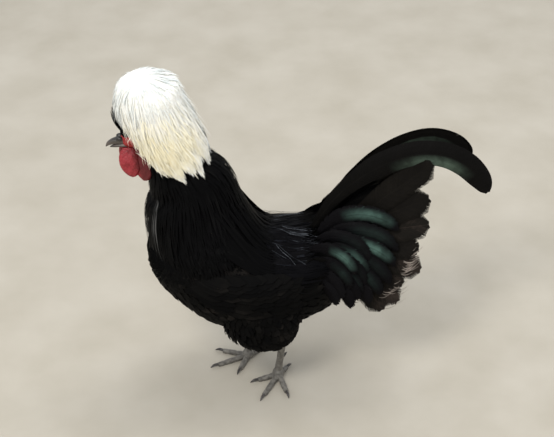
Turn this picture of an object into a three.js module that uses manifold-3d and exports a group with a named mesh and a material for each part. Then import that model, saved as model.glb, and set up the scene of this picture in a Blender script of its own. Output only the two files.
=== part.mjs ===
// A white-crested black crested cock, standing still, at life size.
// Millimetres, +Z up. It faces -X, its left side is towards -Y, and it stands on Z = 0.
// The origin lies on the floor, below the middle of its length and width.
import * as THREE from "three";
import { mergeVertices } from "three/addons/utils/BufferGeometryUtils.js";
import Module from "manifold-3d";

const wasm = await Module();
wasm.setup();
const { Manifold, Mesh: SolidMesh } = wasm;

// Driving sizes
const LEFT = -1; // the side of Y that a paired piece is on
const RIGHT = 1;
const SIDES = [
  ["left", LEFT],
  ["right", RIGHT],
];
const GAP = 0.3; // left between two nodes that meet
const VANE = 0.8; // thickness of a feather's vane
const COVER = 1.15; // a feather's width, as a share of the space that it has in its row
const TILT = 1.3; // how far one edge of a feather rises, so that it lies over the next one
const CORE = 0.55; // half sizes of a coat's core, as a share of the coat's own
const RUMP_FROM = -50; // X where the rump begins, behind the trunk
const EYE = { x: -214, y: 13.4, z: 405, radius: 4.6 };
const LID = 1.6; // thickness of the eyelids
const SCUTE = 0.55; // how far a scute's lower edge stands out
const PALM = { z: 7.5, radius: 8.5 };
const TOE = { radius: 3.9, z: 3.3, claw: 12 };
// A foot's middle toe points forwards, turned outwards by heading degrees.
const FOOT = {
  [LEFT]: { x: -32, y: -22, heading: 60 },
  [RIGHT]: { x: -72, y: 24, heading: -20 },
};
// Each toe: its turn from the middle toe, away from the other foot, and its length with the claw.
const TOES = [
  { turn: -44, length: 43 },
  { turn: 0, length: 60 },
  { turn: 42, length: 51 },
  { turn: 168, length: 32 },
];

const FULL = 2 * Math.PI;
const Y_AXIS = new THREE.Vector3(0, 1, 0);
const Z_AXIS = new THREE.Vector3(0, 0, 1);
const at = (x, y, z) => new THREE.Vector3(x, y, z);
const { lerp: mix, clamp, degToRad: radians } = THREE.MathUtils;

// A repeatable draw from -0.5 to 0.5.
function draws(seed) {
  let state = seed;
  return () => {
    state = (state * 1664525 + 1013904223) % 4294967296;
    return state / 4294967296 - 0.5;
  };
}

// Solids

// The solid of a closed geometry, with its faces turned outwards.
function solidOf(geometry) {
  const position = geometry.getAttribute("position");
  const triangles = Uint32Array.from(geometry.index.array);
  const [a, b, c] = [at(0, 0, 0), at(0, 0, 0), at(0, 0, 0)];
  let volume = 0;
  for (let i = 0; i < triangles.length; i += 3) {
    a.fromBufferAttribute(position, triangles[i]);
    b.fromBufferAttribute(position, triangles[i + 1]);
    c.fromBufferAttribute(position, triangles[i + 2]);
    volume += a.dot(b.cross(c));
  }
  if (volume < 0) triangles.reverse();
  const vertProperties = Float32Array.from(position.array);
  return new Manifold(new SolidMesh({ numProp: 3, vertProperties, triVerts: triangles }));
}

// The largest closed surface of a solid, as one node's geometry.
function geometryOf(solid) {
  const [largest] = solid.decompose().sort((a, b) => b.volume() - a.volume());
  const mesh = largest.getMesh();
  const geometry = new THREE.BufferGeometry();
  geometry.setAttribute("position", new THREE.BufferAttribute(mesh.vertProperties, 3));
  geometry.setIndex(new THREE.BufferAttribute(mesh.triVerts, 1));
  return geometry;
}

const fuse = (...solids) => Manifold.union(solids.flat());
const cut = (solid, ...cutters) => Manifold.difference([solid, ...cutters.flat()]);

function welded(geometry) {
  geometry.deleteAttribute("normal");
  geometry.deleteAttribute("uv");
  return solidOf(mergeVertices(geometry, 1e-4));
}

function block(low, high) {
  const size = at(...high).sub(at(...low));
  const middle = at(...low).addScaledVector(size, 0.5);
  return welded(new THREE.BoxGeometry(size.x, size.y, size.z).translate(middle.x, middle.y, middle.z));
}

// An ellipsoid with half sizes [x, y, z] round a centre.
function egg(centre, half, grow = 0, around = 10) {
  const [x, y, z] = half.map((size) => size + grow);
  const ball = new THREE.SphereGeometry(1, around, Math.round(around * 0.6));
  return welded(ball.scale(x, y, z).translate(...centre));
}

// A closed body from rings of equal length with an apex at each end.
function ringed(rings, first, last) {
  const around = rings[0].length;
  const corner = (i, k) => i * around + ((k + around) % around);
  const index = [];
  for (let k = 0; k < around; k++) {
    for (let i = 0; i + 1 < rings.length; i++) {
      index.push(corner(i, k), corner(i, k + 1), corner(i + 1, k + 1));
      index.push(corner(i, k), corner(i + 1, k + 1), corner(i + 1, k));
    }
    const apex = rings.length * around;
    index.push(apex, corner(0, k + 1), corner(0, k));
    index.push(apex + 1, corner(rings.length - 1, k), corner(rings.length - 1, k + 1));
  }
  const geometry = new THREE.BufferGeometry().setFromPoints([...rings.flat(), first, last]);
  geometry.setIndex(index);
  return solidOf(geometry);
}

// A thin closed sheet over rows of points on its middle surface, with the outward normals there.
// Both faces are split into triangles alike, and grow widens it all round.
function sheet(rows, normals, thick, grow = 0) {
  const [long, wide] = [rows.length, rows[0].length];
  const spread = rows.map((row, i) =>
    row.map((p, k) => {
      const point = p.clone();
      const push = (from) => point.addScaledVector(p.clone().sub(from).normalize(), grow);
      if (i === 0) push(rows[1][k]);
      if (i === long - 1) push(rows[long - 2][k]);
      if (k === 0) push(row[1]);
      if (k === wide - 1) push(row[wide - 2]);
      return point;
    }),
  );
  const face = (sign) =>
    spread.flatMap((row, i) =>
      row.map((p, k) => p.clone().addScaledVector(normals[i][k], sign * (thick / 2 + grow))),
    );
  const lower = long * wide;
  const corner = (i, k) => i * wide + k;
  const index = [];
  for (let i = 0; i + 1 < long; i++) {
    for (let k = 0; k + 1 < wide; k++) {
      const [a, b, c, d] = [corner(i, k), corner(i, k + 1), corner(i + 1, k + 1), corner(i + 1, k)];
      index.push(a, b, c, a, c, d);
      index.push(lower + a, lower + c, lower + b, lower + a, lower + d, lower + c);
    }
  }
  const rim = (a, b) => index.push(b, a, lower + a, b, lower + a, lower + b);
  for (let k = 0; k + 1 < wide; k++) {
    rim(corner(0, k), corner(0, k + 1));
    rim(corner(long - 1, k + 1), corner(long - 1, k));
  }
  for (let i = 0; i + 1 < long; i++) {
    rim(corner(i + 1, 0), corner(i, 0));
    rim(corner(i, wide - 1), corner(i + 1, wide - 1));
  }
  const geometry = new THREE.BufferGeometry().setFromPoints([...face(1), ...face(-1)]);
  geometry.setIndex(index);
  return solidOf(geometry);
}

// A rounded body along a smooth spine that runs from its head end to its tail end.
// A station is [x, y, z, side, up, down]: a centre, and the half sizes of the section there.
class Loft {
  constructor(stations) {
    const spline = (points) => new THREE.CatmullRomCurve3(points, false, "catmullrom", 0.5);
    this.centres = spline(stations.map(([x, y, z]) => at(x, y, z)));
    this.sizes = spline(stations.map(([, , , side, up, down]) => at(side, up, down)));
  }

  frame(u) {
    const along = this.centres.getTangent(clamp(u, 0, 1));
    const side = Y_AXIS.clone().addScaledVector(along, -Y_AXIS.dot(along)).normalize();
    return { along, side, up: along.clone().cross(side) };
  }

  // The point at u along the spine and an angle round it: 0 on top, growing to the right side.
  // It lies off the surface by lift, once the section is scaled.
  point(u, angle, lift = 0, scale = 1) {
    const { side, up } = this.frame(u);
    const size = this.sizes.getPoint(clamp(u, 0, 1));
    const rise = Math.cos(angle);
    const high = Math.max((rise > 0 ? size.y : size.z) * scale + lift, 0.01);
    const wide = Math.max(size.x * scale + lift, 0.01);
    return this.centres
      .getPoint(clamp(u, 0, 1))
      .addScaledVector(side, wide * Math.sin(angle))
      .addScaledVector(up, high * rise);
  }

  normal(u, angle) {
    const [low, high] = [clamp(u - 0.01, 0.01, 0.97), clamp(u + 0.01, 0.03, 0.99)];
    const alongU = this.point(high, angle).sub(this.point(low, angle));
    const alongA = this.point(u, angle + 0.02).sub(this.point(u, angle - 0.02));
    return alongA.cross(alongU).normalize();
  }

  // A point and its face, moved out along its section where it lies nearer to the body than margin.
  outside(point, face, margin) {
    let nearest = { off: Infinity };
    for (let u = 0.02; u < 0.99; u += 0.02) {
      const frame = this.frame(u);
      const centre = this.centres.getPoint(u);
      const away = point.clone().sub(centre);
      const off = Math.abs(away.dot(frame.along));
      if (off < nearest.off) nearest = { off, u, centre, away, ...frame };
    }
    const { u, centre, away, side, up } = nearest;
    const [across, high] = [away.dot(side), away.dot(up)];
    const size = this.sizes.getPoint(u);
    const [wide, tall] = [size.x + margin, (high > 0 ? size.y : size.z) + margin];
    const share = Math.hypot(across / wide, high / tall);
    if (share >= 1) return [point, face];
    return [
      centre.addScaledVector(side, across / share).addScaledVector(up, high / share),
      side.clone().multiplyScalar(across / wide ** 2).addScaledVector(up, high / tall ** 2).normalize(),
    ];
  }

  girth(u) {
    const size = this.sizes.getPoint(clamp(u, 0, 1));
    return Math.PI * (size.x + (size.y + size.z) / 2);
  }

  // The body of the loft, or of the stretch that reach(angle) gives, with relief(u, angle) on it.
  solid(along, around, { grow = 0, from = 0, scale = 1, reach = () => 1, relief = () => 0 } = {}) {
    const angles = Array.from({ length: around }, (_, k) => (k / around) * FULL);
    const rings = [];
    for (let i = 0; i <= along; i++) {
      const u = (angle) => mix(from + 0.004, reach(angle) - 0.004, i / along);
      rings.push(
        angles.map((angle) => this.point(u(angle), angle, grow + relief(u(angle), angle), scale)),
      );
    }
    const middle = (ring) => ring.reduce((sum, p) => sum.add(p), at(0, 0, 0)).divideScalar(around);
    const direction = (u) => this.frame(u).along.multiplyScalar(grow + 0.1);
    return ringed(
      rings,
      middle(rings[0]).sub(direction(from)),
      middle(rings[along]).add(direction(1)),
    );
  }
}

// Feathers

// The share of its full width that a feather has at t along it. All are narrow at the root.
const rooted = (t) => Math.min(1, 0.25 + 2.3 * t);
const broad = (t) => rooted(t) * (t > 0.9 ? 0.5 : 1);
const long = (t) => rooted(t) * (t > 0.9 ? 0.62 : 1);
const pointed = (t) => rooted(t) * Math.min(1, 0.1 + 2.2 * (1 - t));
const blunt = (t) => Math.min(1, 0.22 + 1.2 * t) * (t > 0.9 ? 0.62 : 1);
const hooked = (t) => rooted(t) * (t > 0.75 ? Math.sqrt(1.02 - ((t - 0.75) / 0.26) ** 2) : 1);

// A feather along a path, whose upper face looks along the given normals. width is one size, or one
// for each point of the path.
// droop lowers its edges as a share of its width, and tilt raises one edge over the other.
function feather(path, faces, width, { shape = broad, thick = VANE, droop = 0, tilt = 0, grow = 0 } = {}) {
  const across = droop ? [-0.5, 0, 0.5] : [-0.5, 0.5];
  const rows = [];
  const normals = [];
  path.forEach((p, i) => {
    const along = path[Math.min(i + 1, path.length - 1)].clone().sub(path[Math.max(i - 1, 0)]).normalize();
    const out = faces[i].clone().addScaledVector(along, -faces[i].dot(along)).normalize();
    const side = along.clone().cross(out);
    const wide = (width[i] ?? width) * shape(i / (path.length - 1));
    rows.push(
      across.map((share) =>
        p
          .clone()
          .addScaledVector(side, share * wide)
          .addScaledVector(out, 2 * share * tilt - Math.abs(2 * share) * droop * wide),
      ),
    );
    normals.push(across.map((share) => out.clone().addScaledVector(side, 2.4 * share * droop).normalize()));
  });
  return sheet(rows, normals, thick, grow);
}

// A feather laid on a loft from one place { u, angle, lift, width } to another.
function laid(loft, from, to, options, count) {
  const path = [];
  const faces = [];
  const widths = [];
  for (let i = 0; i < count; i++) {
    const t = i / (count - 1);
    const [u, angle] = [mix(from.u, to.u, t), mix(from.angle, to.angle, t)];
    path.push(loft.point(u, angle, mix(from.lift, to.lift, 1 - (1 - t) ** (options.early ?? 1))));
    faces.push(loft.normal(u, angle));
    widths.push(mix(from.width, to.width, t));
  }
  return feather(path, faces, widths, options);
}

// One of a row of feathers that lie side by side on a loft. The row is { from, to, root, tip, count }:
// where it begins and ends along the spine, and the angles that its roots and its tips lie between.
// start and end are how far the roots and the tips lie off the loft.
function inRow(loft, row, share, start, end, options) {
  const { from, to, root, tip, count, cover = COVER, stations = 4 } = row;
  const place = (u, range, lift) => ({
    u,
    angle: radians(mix(...range, share)),
    lift,
    width: (cover * loft.girth(u) * Math.abs(range[1] - range[0])) / 360 / (count - 1),
  });
  return laid(loft, place(from, root, start), place(to, tip, end), options, stations);
}

// Rows of feathers all round a loft. A row's feathers rise alike from the core over the next row's.
// settle moves what follows their roots.
function coat(loft, rows, { seed, core, tip, reach = () => 1, settle = (point, face) => [point, face] }) {
  const draw = draws(seed);
  return rows.flatMap(({ from, to, count }, row) => {
    const rise = (u) => mix(core, tip, 1 - (1 - clamp((u - from) / (to - from), 0, 1)) ** 1.8);
    const feathers = [];
    for (let k = 0; k < count; k++) {
      const angle = ((k + (row % 2) / 2 + 0.1 * draw()) / count) * FULL;
      const end = Math.min(to, reach(angle)) + 0.03 * draw();
      if (end - from < 0.6 * (to - from)) continue;
      const stations = [0, 1, 2, 3].map((i) => mix(from, end, i / 3));
      const places = stations.map((u, i) => {
        const place = [loft.point(u, angle, 0, rise(u)), loft.normal(u, angle)];
        return i > 0 ? settle(...place) : place;
      });
      const [path, faces] = [places.map(([point]) => point), places.map(([, face]) => face)];
      const widths = stations.map((u) => (COVER * rise(u) * loft.girth(u)) / count);
      feathers.push(feather(path, faces, widths, { shape: pointed, tilt: TILT }));
    }
    return feathers;
  });
}

// Trunk and rump

const BODY = new Loft([
  [-202, 0, 241, 0, 0, 0],
  [-197, 0, 239, 32, 32, 28],
  [-176, 0, 231, 58, 52, 53],
  [-138, 0, 214, 76, 62, 75],
  [-95, 0, 199, 81, 59, 97],
  [-52, 0, 192, 78, 54, 103],
  [-12, 0, 195, 70, 51, 93],
  [22, 0, 207, 56, 43, 80],
  [47, 0, 221, 38, 30, 56],
  [64, 0, 233, 0, 0, 0],
]);
const FAR = 900;
const bodySolid = (grow) => BODY.solid(15, 20, { grow });
const torso = (grow = 0) =>
  bodySolid(grow).intersect(block([-FAR, -FAR, -FAR], [RUMP_FROM + grow, FAR, FAR]));
const rumpCore = (grow = 0) =>
  bodySolid(grow).intersect(block([RUMP_FROM + GAP - grow, -FAR, -FAR], [FAR, FAR, FAR]));

// The saddle feathers fall from the rump's ridge over its sides. Angles are degrees from the ridge,
// and the first of each pair of numbers is for the highest feather of a row.
const SADDLE_ROWS = [
  { from: [0.59, 0.59], to: [0.76, 0.8], root: [6, 40], tip: [14, 86], count: 5, lift: [3.5, 8] },
  { from: [0.7, 0.7], to: [0.79, 0.815], root: [18, 46], tip: [26, 92], count: 5, lift: [2, 4] },
];
const SADDLE_ROOT = -5; // lift of the roots
const SADDLE_COVER = 0.9;

// The same row on one side of the body, at a share of the way down it.
function onSide(row, side, share, cover) {
  const turned = (angles) => angles.map((angle) => side * angle);
  const [from, to] = [mix(...row.from, share), mix(...row.to, share)];
  return { ...row, from, to, root: turned(row.root), tip: turned(row.tip), cover };
}
function saddle() {
  const draw = draws(23);
  return SADDLE_ROWS.flatMap((row) =>
    SIDES.flatMap(([, side]) =>
      Array.from({ length: row.count }, (_, k) => {
        const share = (k + 0.2 * draw()) / (row.count - 1);
        const options = { shape: pointed, tilt: -side * TILT, early: 3 };
        const place = onSide(row, side, share, SADDLE_COVER);
        return inRow(BODY, place, share, SADDLE_ROOT, mix(...row.lift, share), options);
      }),
    ),
  );
}
const rump = () => fuse(rumpCore(), saddle());

// Neck

const CAPE = new Loft([
  [-190, 0, 402, 16, 18, 14],
  [-176, 0, 376, 31, 34, 30],
  [-161, 0, 350, 41, 48, 48],
  [-148, 0, 323, 51, 61, 62],
  [-142, 0, 283, 65, 68, 69],
  [-135, 0, 258, 75, 68, 74],
  [-126, 0, 236, 80, 66, 74],
]);
const HACKLES = [
  { from: 0.08, to: 0.44, count: 8 },
  { from: 0.22, to: 0.6, count: 12 },
  { from: 0.4, to: 0.78, count: 13 },
  { from: 0.54, to: 0.98, count: 14 },
];
const HACKLES_SHORTEST = 0.84; // how far along the loft they reach over the breast
const neckCore = (grow = 0) => CAPE.solid(4, 10, { grow, scale: CORE + 0.1 });
function hackles() {
  const settle = (point, face) => BODY.outside(point, face, 3);
  const reach = (angle) => mix(HACKLES_SHORTEST, 1, (1 + Math.cos(angle)) / 2);
  return coat(CAPE, HACKLES, { seed: 11, core: CORE - 0.04, tip: 0.99, reach, settle });
}
// The outer surface of the hackles.
const cape = (grow = 0) => CAPE.solid(6, 12, { grow: grow + 4 });

// Wings

// The wing lies on the flank from its wrist at the breast to its tips beside the rump.
// Its feathers lie in rows, each under the row before it. Angles are degrees from the back's ridge.
const WING_ROWS = [
  { stations: 3, from: [0.31, 0.3], to: [0.45, 0.42], root: [76, 102], tip: [72, 105], count: 3, rise: 8 },
  { stations: 3, from: [0.39, 0.38], to: [0.54, 0.51], root: [70, 103], tip: [66, 108], count: 3, rise: 8 },
  { stations: 3, from: [0.47, 0.45], to: [0.63, 0.59], root: [64, 104], tip: [62, 111], count: 4, rise: 8 },
  { from: [0.55, 0.53], to: [0.7, 0.67], root: [68, 101], tip: [76, 112], count: 5, rise: 5.5 },
  { from: [0.6, 0.61], to: [0.78, 0.76], root: [88, 99], tip: [92, 107], count: 2, rise: 2.8 },
];
const WING_COVER = 1.3;
const WING_PAD = { from: 0.28, to: 0.63, top: [76, 62], bottom: 107, low: 1.2, thick: 3.2 };

function wingPad(side, grow = 0) {
  const { from, to, top, bottom, low, thick } = WING_PAD;
  const rows = [];
  const normals = [];
  for (let i = 0; i <= 3; i++) {
    const u = mix(from, to, i / 3);
    // The front of the pad is rounded.
    const narrow = i === 0 ? 0.5 : 1;
    const range = [mix(...top, Math.min(1, i / 2)), bottom];
    const angles = [0, 0.33, 0.67, 1].map(
      (share) => side * radians(mix(...range, 0.5 + (share - 0.5) * narrow)),
    );
    rows.push(angles.map((a) => BODY.point(u, a, low + thick / 2)));
    normals.push(angles.map((a) => BODY.normal(u, a)));
  }
  return sheet(rows, normals, thick, grow);
}

function wing(side) {
  const feathers = WING_ROWS.flatMap((row, i) =>
    Array.from({ length: row.count }, (_, k) => {
      const share = k / (row.count - 1);
      const options = { shape: i < 3 ? broad : long, tilt: -side * TILT };
      const place = onSide(row, side, share, WING_COVER);
      return inRow(BODY, place, share, WING_PAD.low + 1.4, WING_PAD.low + row.rise, options);
    }),
  );
  return fuse(wingPad(side), feathers);
}
// The space of a wing on the flank, out to its feathers' faces.
function wingSpace(side, grow = 0) {
  const rows = [];
  const normals = [];
  for (let i = 0; i <= 8; i++) {
    const u = mix(0.265, 0.62, i / 8);
    const angles = [52, 72, 95, 116].map((angle) => side * radians(angle));
    rows.push(angles.map((angle) => BODY.point(u, angle, 4)));
    normals.push(angles.map((angle) => BODY.normal(u, angle)));
  }
  return sheet(rows, normals, 12, grow);
}

// Head

const SKULL = new Loft([
  [-233.5, 0, 396, 0, 0, 0],
  [-231, 0, 397, 7, 8, 8],
  [-222, 0, 400, 12.5, 15, 13],
  [-208, 0, 403, 16, 21, 17],
  [-192, 0, 401, 16.5, 20, 17],
  [-179, 0, 394, 11, 12, 11],
  [-173, 0, 391, 0, 0, 0],
]);
const CREST_KNOB = { centre: [-203, 0, 422], half: [17, 15, 15] };
const eyeCentre = (side) => [EYE.x, side * EYE.y, EYE.z];
const eye = (side, grow = 0) => egg(eyeCentre(side), [EYE.radius, EYE.radius, EYE.radius], grow, 9);

function head(grow = 0) {
  const lid = EYE.radius + LID;
  const lids = SIDES.map(([, side]) => egg(eyeCentre(side), [lid + 1.4, lid, lid], grow, 8));
  // The opening between the lids is almond shaped.
  const openings = SIDES.map(([, side]) =>
    egg([EYE.x, side * (EYE.y + lid), EYE.z], [4.4, 5, 3], -grow, 8),
  );
  const skull = fuse(SKULL.solid(6, 10, { grow }), egg(CREST_KNOB.centre, CREST_KNOB.half, grow, 8), lids);
  return cut(skull, openings);
}

const BEAK_TOP = new Loft([
  [-224, 0, 399, 8, 8, 3.4],
  [-233, 0, 399.8, 6.8, 6.8, 3.4],
  [-243, 0, 398, 4.8, 5.2, 3.2],
  [-250, 0, 394, 2.6, 3.2, 2.8],
  [-254, 0, 389, 0.4, 0.4, 0.4],
]);
const BEAK_LOW = new Loft([
  [-224, 0, 391.6, 6.8, 2.4, 4.2],
  [-234, 0, 391, 5.2, 2.2, 3.4],
  [-243, 0, 389.8, 3, 1.8, 2.3],
  [-249, 0, 388.4, 0.5, 0.4, 0.4],
]);
// The nostril opens below a raised flap at the beak's base.
function beakTop(grow = 0) {
  const flaps = SIDES.map(([, side]) => egg([-235, side * 4.6, 402.4], [5, 3.2, 3], grow, 6));
  const pits = SIDES.map(([, side]) => egg([-236.5, side * 7.2, 400.6], [3, 1.8, 1.2], -grow / 2, 6));
  return cut(fuse(BEAK_TOP.solid(5, 8, { grow }), flaps), pits);
}
const beakLow = (grow = 0) => BEAK_LOW.solid(4, 6, { grow });

// The comb is two small horns that part in a V, before the crest.
function comb(grow = 0) {
  const horns = SIDES.map(([, side]) =>
    new Loft([
      [-226, side * 3, 410, 2, 3.4, 3.4],
      [-229, side * 4.5, 417, 2, 3, 3],
      [-231, side * 7, 424, 1.5, 2.2, 2.2],
      [-231, side * 9, 429, 0.3, 0.3, 0.3],
    ]).solid(3, 6, { grow }),
  );
  return fuse(horns, egg([-225.5, 0, 411], [3, 5, 3.5], grow, 8));
}

const WATTLE_FOLDS = 3;
function wattle(side, grow = 0) {
  const lobe = new Loft([
    [-224, side * 7, 390, 2.5, 8, 7],
    [-221, side * 9, 381, 3, 15, 15],
    [-217, side * 11.5, 367, 3.8, 20, 19],
    [-211, side * 13, 353, 3.4, 18, 15],
    [-206, side * 13.5, 345, 1, 7, 5],
  ]);
  // A crease parts its front lobe from its rear one.
  const crease = (u, angle) => 1.7 * Math.exp(-((Math.cos(angle) / 0.3) ** 2)) * clamp(3 * u - 0.8, 0, 1);
  const fold = (u, angle) => 0.6 * Math.sin(angle) ** 2 * Math.sin(WATTLE_FOLDS * Math.PI * u + angle);
  return lobe.solid(7, 12, { grow, relief: (u, angle) => fold(u, angle) - crease(u, angle) });
}

const earlobe = (side, grow = 0) => egg([-195, side * 16.5, 389], [7, 3, 9], grow, 8);

// Crest

const CREST = new Loft([
  [-207, 0, 491, 0, 0, 0],
  [-206, 0, 487, 26, 22, 25],
  [-203, 0, 472, 42, 40, 40],
  [-196, 0, 449, 49, 46, 45],
  [-187, 0, 422, 51, 50, 41],
  [-175, 0, 395, 51, 50, 43],
  [-161, 0, 371, 47, 45, 36],
  [-149, 0, 351, 41, 36, 24],
]);
const CREST_SHORTEST = 0.56; // how far along the loft the feathers reach over the beak
const crestReach = (angle) => mix(CREST_SHORTEST, 1, ((1 + Math.cos(angle)) / 2) ** 0.6);
const CREST_ROWS = [
  { from: 0.03, to: 0.33, count: 7 },
  { from: 0.15, to: 0.5, count: 11 },
  { from: 0.31, to: 0.66, count: 13 },
  { from: 0.47, to: 0.83, count: 13 },
  { from: 0.63, to: 1, count: 13 },
];
function crest() {
  const core = CREST.solid(5, 10, { scale: CORE, reach: (angle) => crestReach(angle) - 0.06 });
  return fuse(core, coat(CREST, CREST_ROWS, { seed: 5, core: CORE - 0.06, tip: 1.03, reach: crestReach }));
}

// The hollow in the crest, clear of the head with its lids, comb, beak and earlobes.
function faceHollow() {
  const hollow = new Loft([
    [-250, 0, 398, 10, 10, 10],
    [-228, 0, 406, 17, 21, 20],
    [-214, 0, 412, 26, 28, 30],
    [-200, 0, 410, 26, 30, 34],
    [-186, 0, 400, 23, 26, 28],
    [-169, 0, 388, 14, 14, 14],
  ]);
  return hollow.solid(5, 10);
}

// A tuft of black feathers stands before the crest, over the beak.
const TUFT = { count: 5, root: [-228, 9, 409], tip: [-246, 15, 447] };
function crestBand(grow = 0) {
  const { count, root, tip } = TUFT;
  const feathers = Array.from({ length: count }, (_, k) => {
    const share = (2 * k) / (count - 1) - 1; // -1 on the left, 1 on the right
    const stations = [0, 0.5, 1];
    const path = stations.map((t) => {
      const [x, y, z] = root.map((value, i) => mix(value, tip[i], t));
      const bow = 5 * Math.sin(Math.PI * t);
      return at(x - bow + 7 * share * share, y * share, z - 9 * t * share * share);
    });
    const widths = stations.map((t) => (COVER * 2 * mix(root[1], tip[1], t)) / (count - 1));
    return feather(path, path.map(() => at(-1, 0.5 * share, 0)), widths, { shape: pointed, tilt: 0.9, grow });
  });
  return fuse(egg([-226.5, 0, 411], [8.5, 13, 7], grow, 6), feathers);
}

// Legs

const shankTop = (side) => at(FOOT[side].x + 6, side * 31, 88);
const thighStations = (side) => {
  const { x, y, z } = shankTop(side);
  return [
    [x - 46, side * 46, z + 94, 0, 0, 0],
    [x - 42, side * 47, z + 80, 28, 40, 40],
    [x - 28, side * 48, z + 48, 33, 46, 46],
    [x - 15, side * 44, z + 19, 29, 37, 39],
    [x - 4, mix(y, side * 44, 0.3), z - 2, 18, 21, 27],
    [x + 1, y, z - 14, 4, 4, 4],
  ];
};
const thigh = (side, grow = 0) => new Loft(thighStations(side)).solid(6, 13, { grow });

// A row of scutes: each stands out at its lower edge, on the front of what it covers.
const scutes = (count) => (u, angle) =>
  SCUTE * ((u * count) % 1) * Math.max(0, -Math.cos(angle)) ** 0.5;

function shank(side, grow = 0) {
  const { x, y, z } = shankTop(side);
  const foot = FOOT[side];
  const bone = new Loft([
    [x, y, z + 4, 6, 7, 7],
    [x - 1, mix(y, foot.y, 0.12), z - 12, 5, 6, 6],
    [mix(x, foot.x, 0.5), mix(y, foot.y, 0.5), 44, 4, 4.8, 4.8],
    [mix(x, foot.x, 0.85), mix(y, foot.y, 0.85), 22, 4.4, 5, 5],
    [foot.x, foot.y, 9, 5.6, 6, 6],
  ]);
  return bone.solid(16, 6, { grow, relief: scutes(8) });
}

// The direction of a toe on the floor.
function toeDirection(side, toe) {
  const turn = radians(FOOT[side].heading + toe.turn);
  return at(-Math.cos(turn), side * Math.sin(turn), 0);
}

function toeSolid(side, toe, grow) {
  const direction = toeDirection(side, toe);
  const reach = toe.length - TOE.claw;
  const station = (share, z, radius) => {
    const p = at(FOOT[side].x, FOOT[side].y, z).addScaledVector(direction, reach * share);
    return [p.x, p.y, p.z, radius, radius, radius];
  };
  const loft = new Loft([
    station(0.05, TOE.z + 2, TOE.radius),
    station(0.35, TOE.z + 0.6, TOE.radius),
    station(0.7, TOE.z, TOE.radius * 0.95),
    station(1, TOE.z - 0.3, TOE.radius * 0.8),
  ]);
  return loft.solid(7, 6, { grow, relief: scutes(3) });
}

const FLOOR = block([-FAR, -FAR, -FAR], [FAR, FAR, 0]);
function foot(side, grow = 0) {
  const { x, y } = FOOT[side];
  const palm = egg([x, y, PALM.z], [PALM.radius, PALM.radius, PALM.z + 1.5], grow, 8);
  return cut(fuse(palm, TOES.map((toe) => toeSolid(side, toe, grow))), FLOOR);
}

function claw(side, toe, grow = 0) {
  const direction = toeDirection(side, toe);
  const station = (back, z, radius) => {
    const p = at(FOOT[side].x, FOOT[side].y, z).addScaledVector(direction, toe.length - back);
    return [p.x, p.y, p.z, radius, radius, radius];
  };
  const horn = new Loft([
    station(TOE.claw + 1, TOE.z + 0.4, 1.9),
    station(TOE.claw * 0.6, TOE.z + 1, 2),
    station(TOE.claw * 0.25, TOE.z - 0.2, 1.3),
    station(0, 1, 0.3),
  ]);
  return cut(horn.solid(3, 5, { grow }), FLOOR);
}

function spur(side, grow = 0) {
  const { x, y } = FOOT[side];
  const horn = new Loft([
    [x + 2, y + side * 1, 36, 3.2, 3.2, 3.2],
    [x + 8, y - side * 4, 36, 2.6, 2.6, 2.6],
    [x + 13, y - side * 8, 38, 0.4, 0.4, 0.4],
  ]);
  return horn.solid(3, 5, { grow });
}

// Tail

const TAIL_ROOT = at(34, 11, 229); // y on the left and right of the middle
const RECTRICES = 8; // on each side
const RECTRIX_WIDTH = 40;
const RECTRIX_STEP = 2; // from the face of one to the face of the next
// The highest and the lowest of the straight tail feathers: rise and spread in degrees, and length.
const TOP_FEATHER = { rise: 44, spread: 3, length: 182 };
const LOW_FEATHER = { rise: -39, spread: 40, length: 119 };

// A direction backwards, turned outwards from the middle and raised, both in radians.
const heading = (side, turn, rise) =>
  at(Math.cos(rise) * Math.cos(turn), side * Math.cos(rise) * Math.sin(turn), Math.sin(rise));

function rectrix(side, share) {
  const rise = radians(mix(TOP_FEATHER.rise, LOW_FEATHER.rise, share));
  const spread = radians(mix(TOP_FEATHER.spread, LOW_FEATHER.spread, share));
  const length = mix(LOW_FEATHER.length, TOP_FEATHER.length, Math.max(0, 1 - share) ** 2.3);
  return { direction: heading(side, spread, rise), length };
}
const tailRoot = (side) => at(TAIL_ROOT.x, side * TAIL_ROOT.y, TAIL_ROOT.z);
const tailCore = (side, grow = 0) =>
  egg([TAIL_ROOT.x + 8, side * TAIL_ROOT.y, TAIL_ROOT.z - 4], [38, 17, 28], grow, 8);

// The straight feathers spread from the tail's root, each one lying inside the one above it.
function tailFan(side) {
  const feathers = Array.from({ length: RECTRICES }, (_, k) => {
    const share = k / (RECTRICES - 1);
    const { direction, length } = rectrix(side, share);
    const next = rectrix(side, share + 0.05).direction;
    const face = direction.clone().cross(next).multiplyScalar(side).normalize();
    const root = tailRoot(side).addScaledVector(face, RECTRIX_STEP * (RECTRICES / 2 - k));
    const path = [0.08, 0.5, 0.85, 1].map((t) =>
      root.clone().addScaledVector(direction, length * t).addScaledVector(Z_AXIS, -9 * t * t),
    );
    return feather(path, path.map(() => face), RECTRIX_WIDTH, { shape: blunt, thick: 1 });
  });
  return fuse(tailCore(side), feathers);
}
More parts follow.
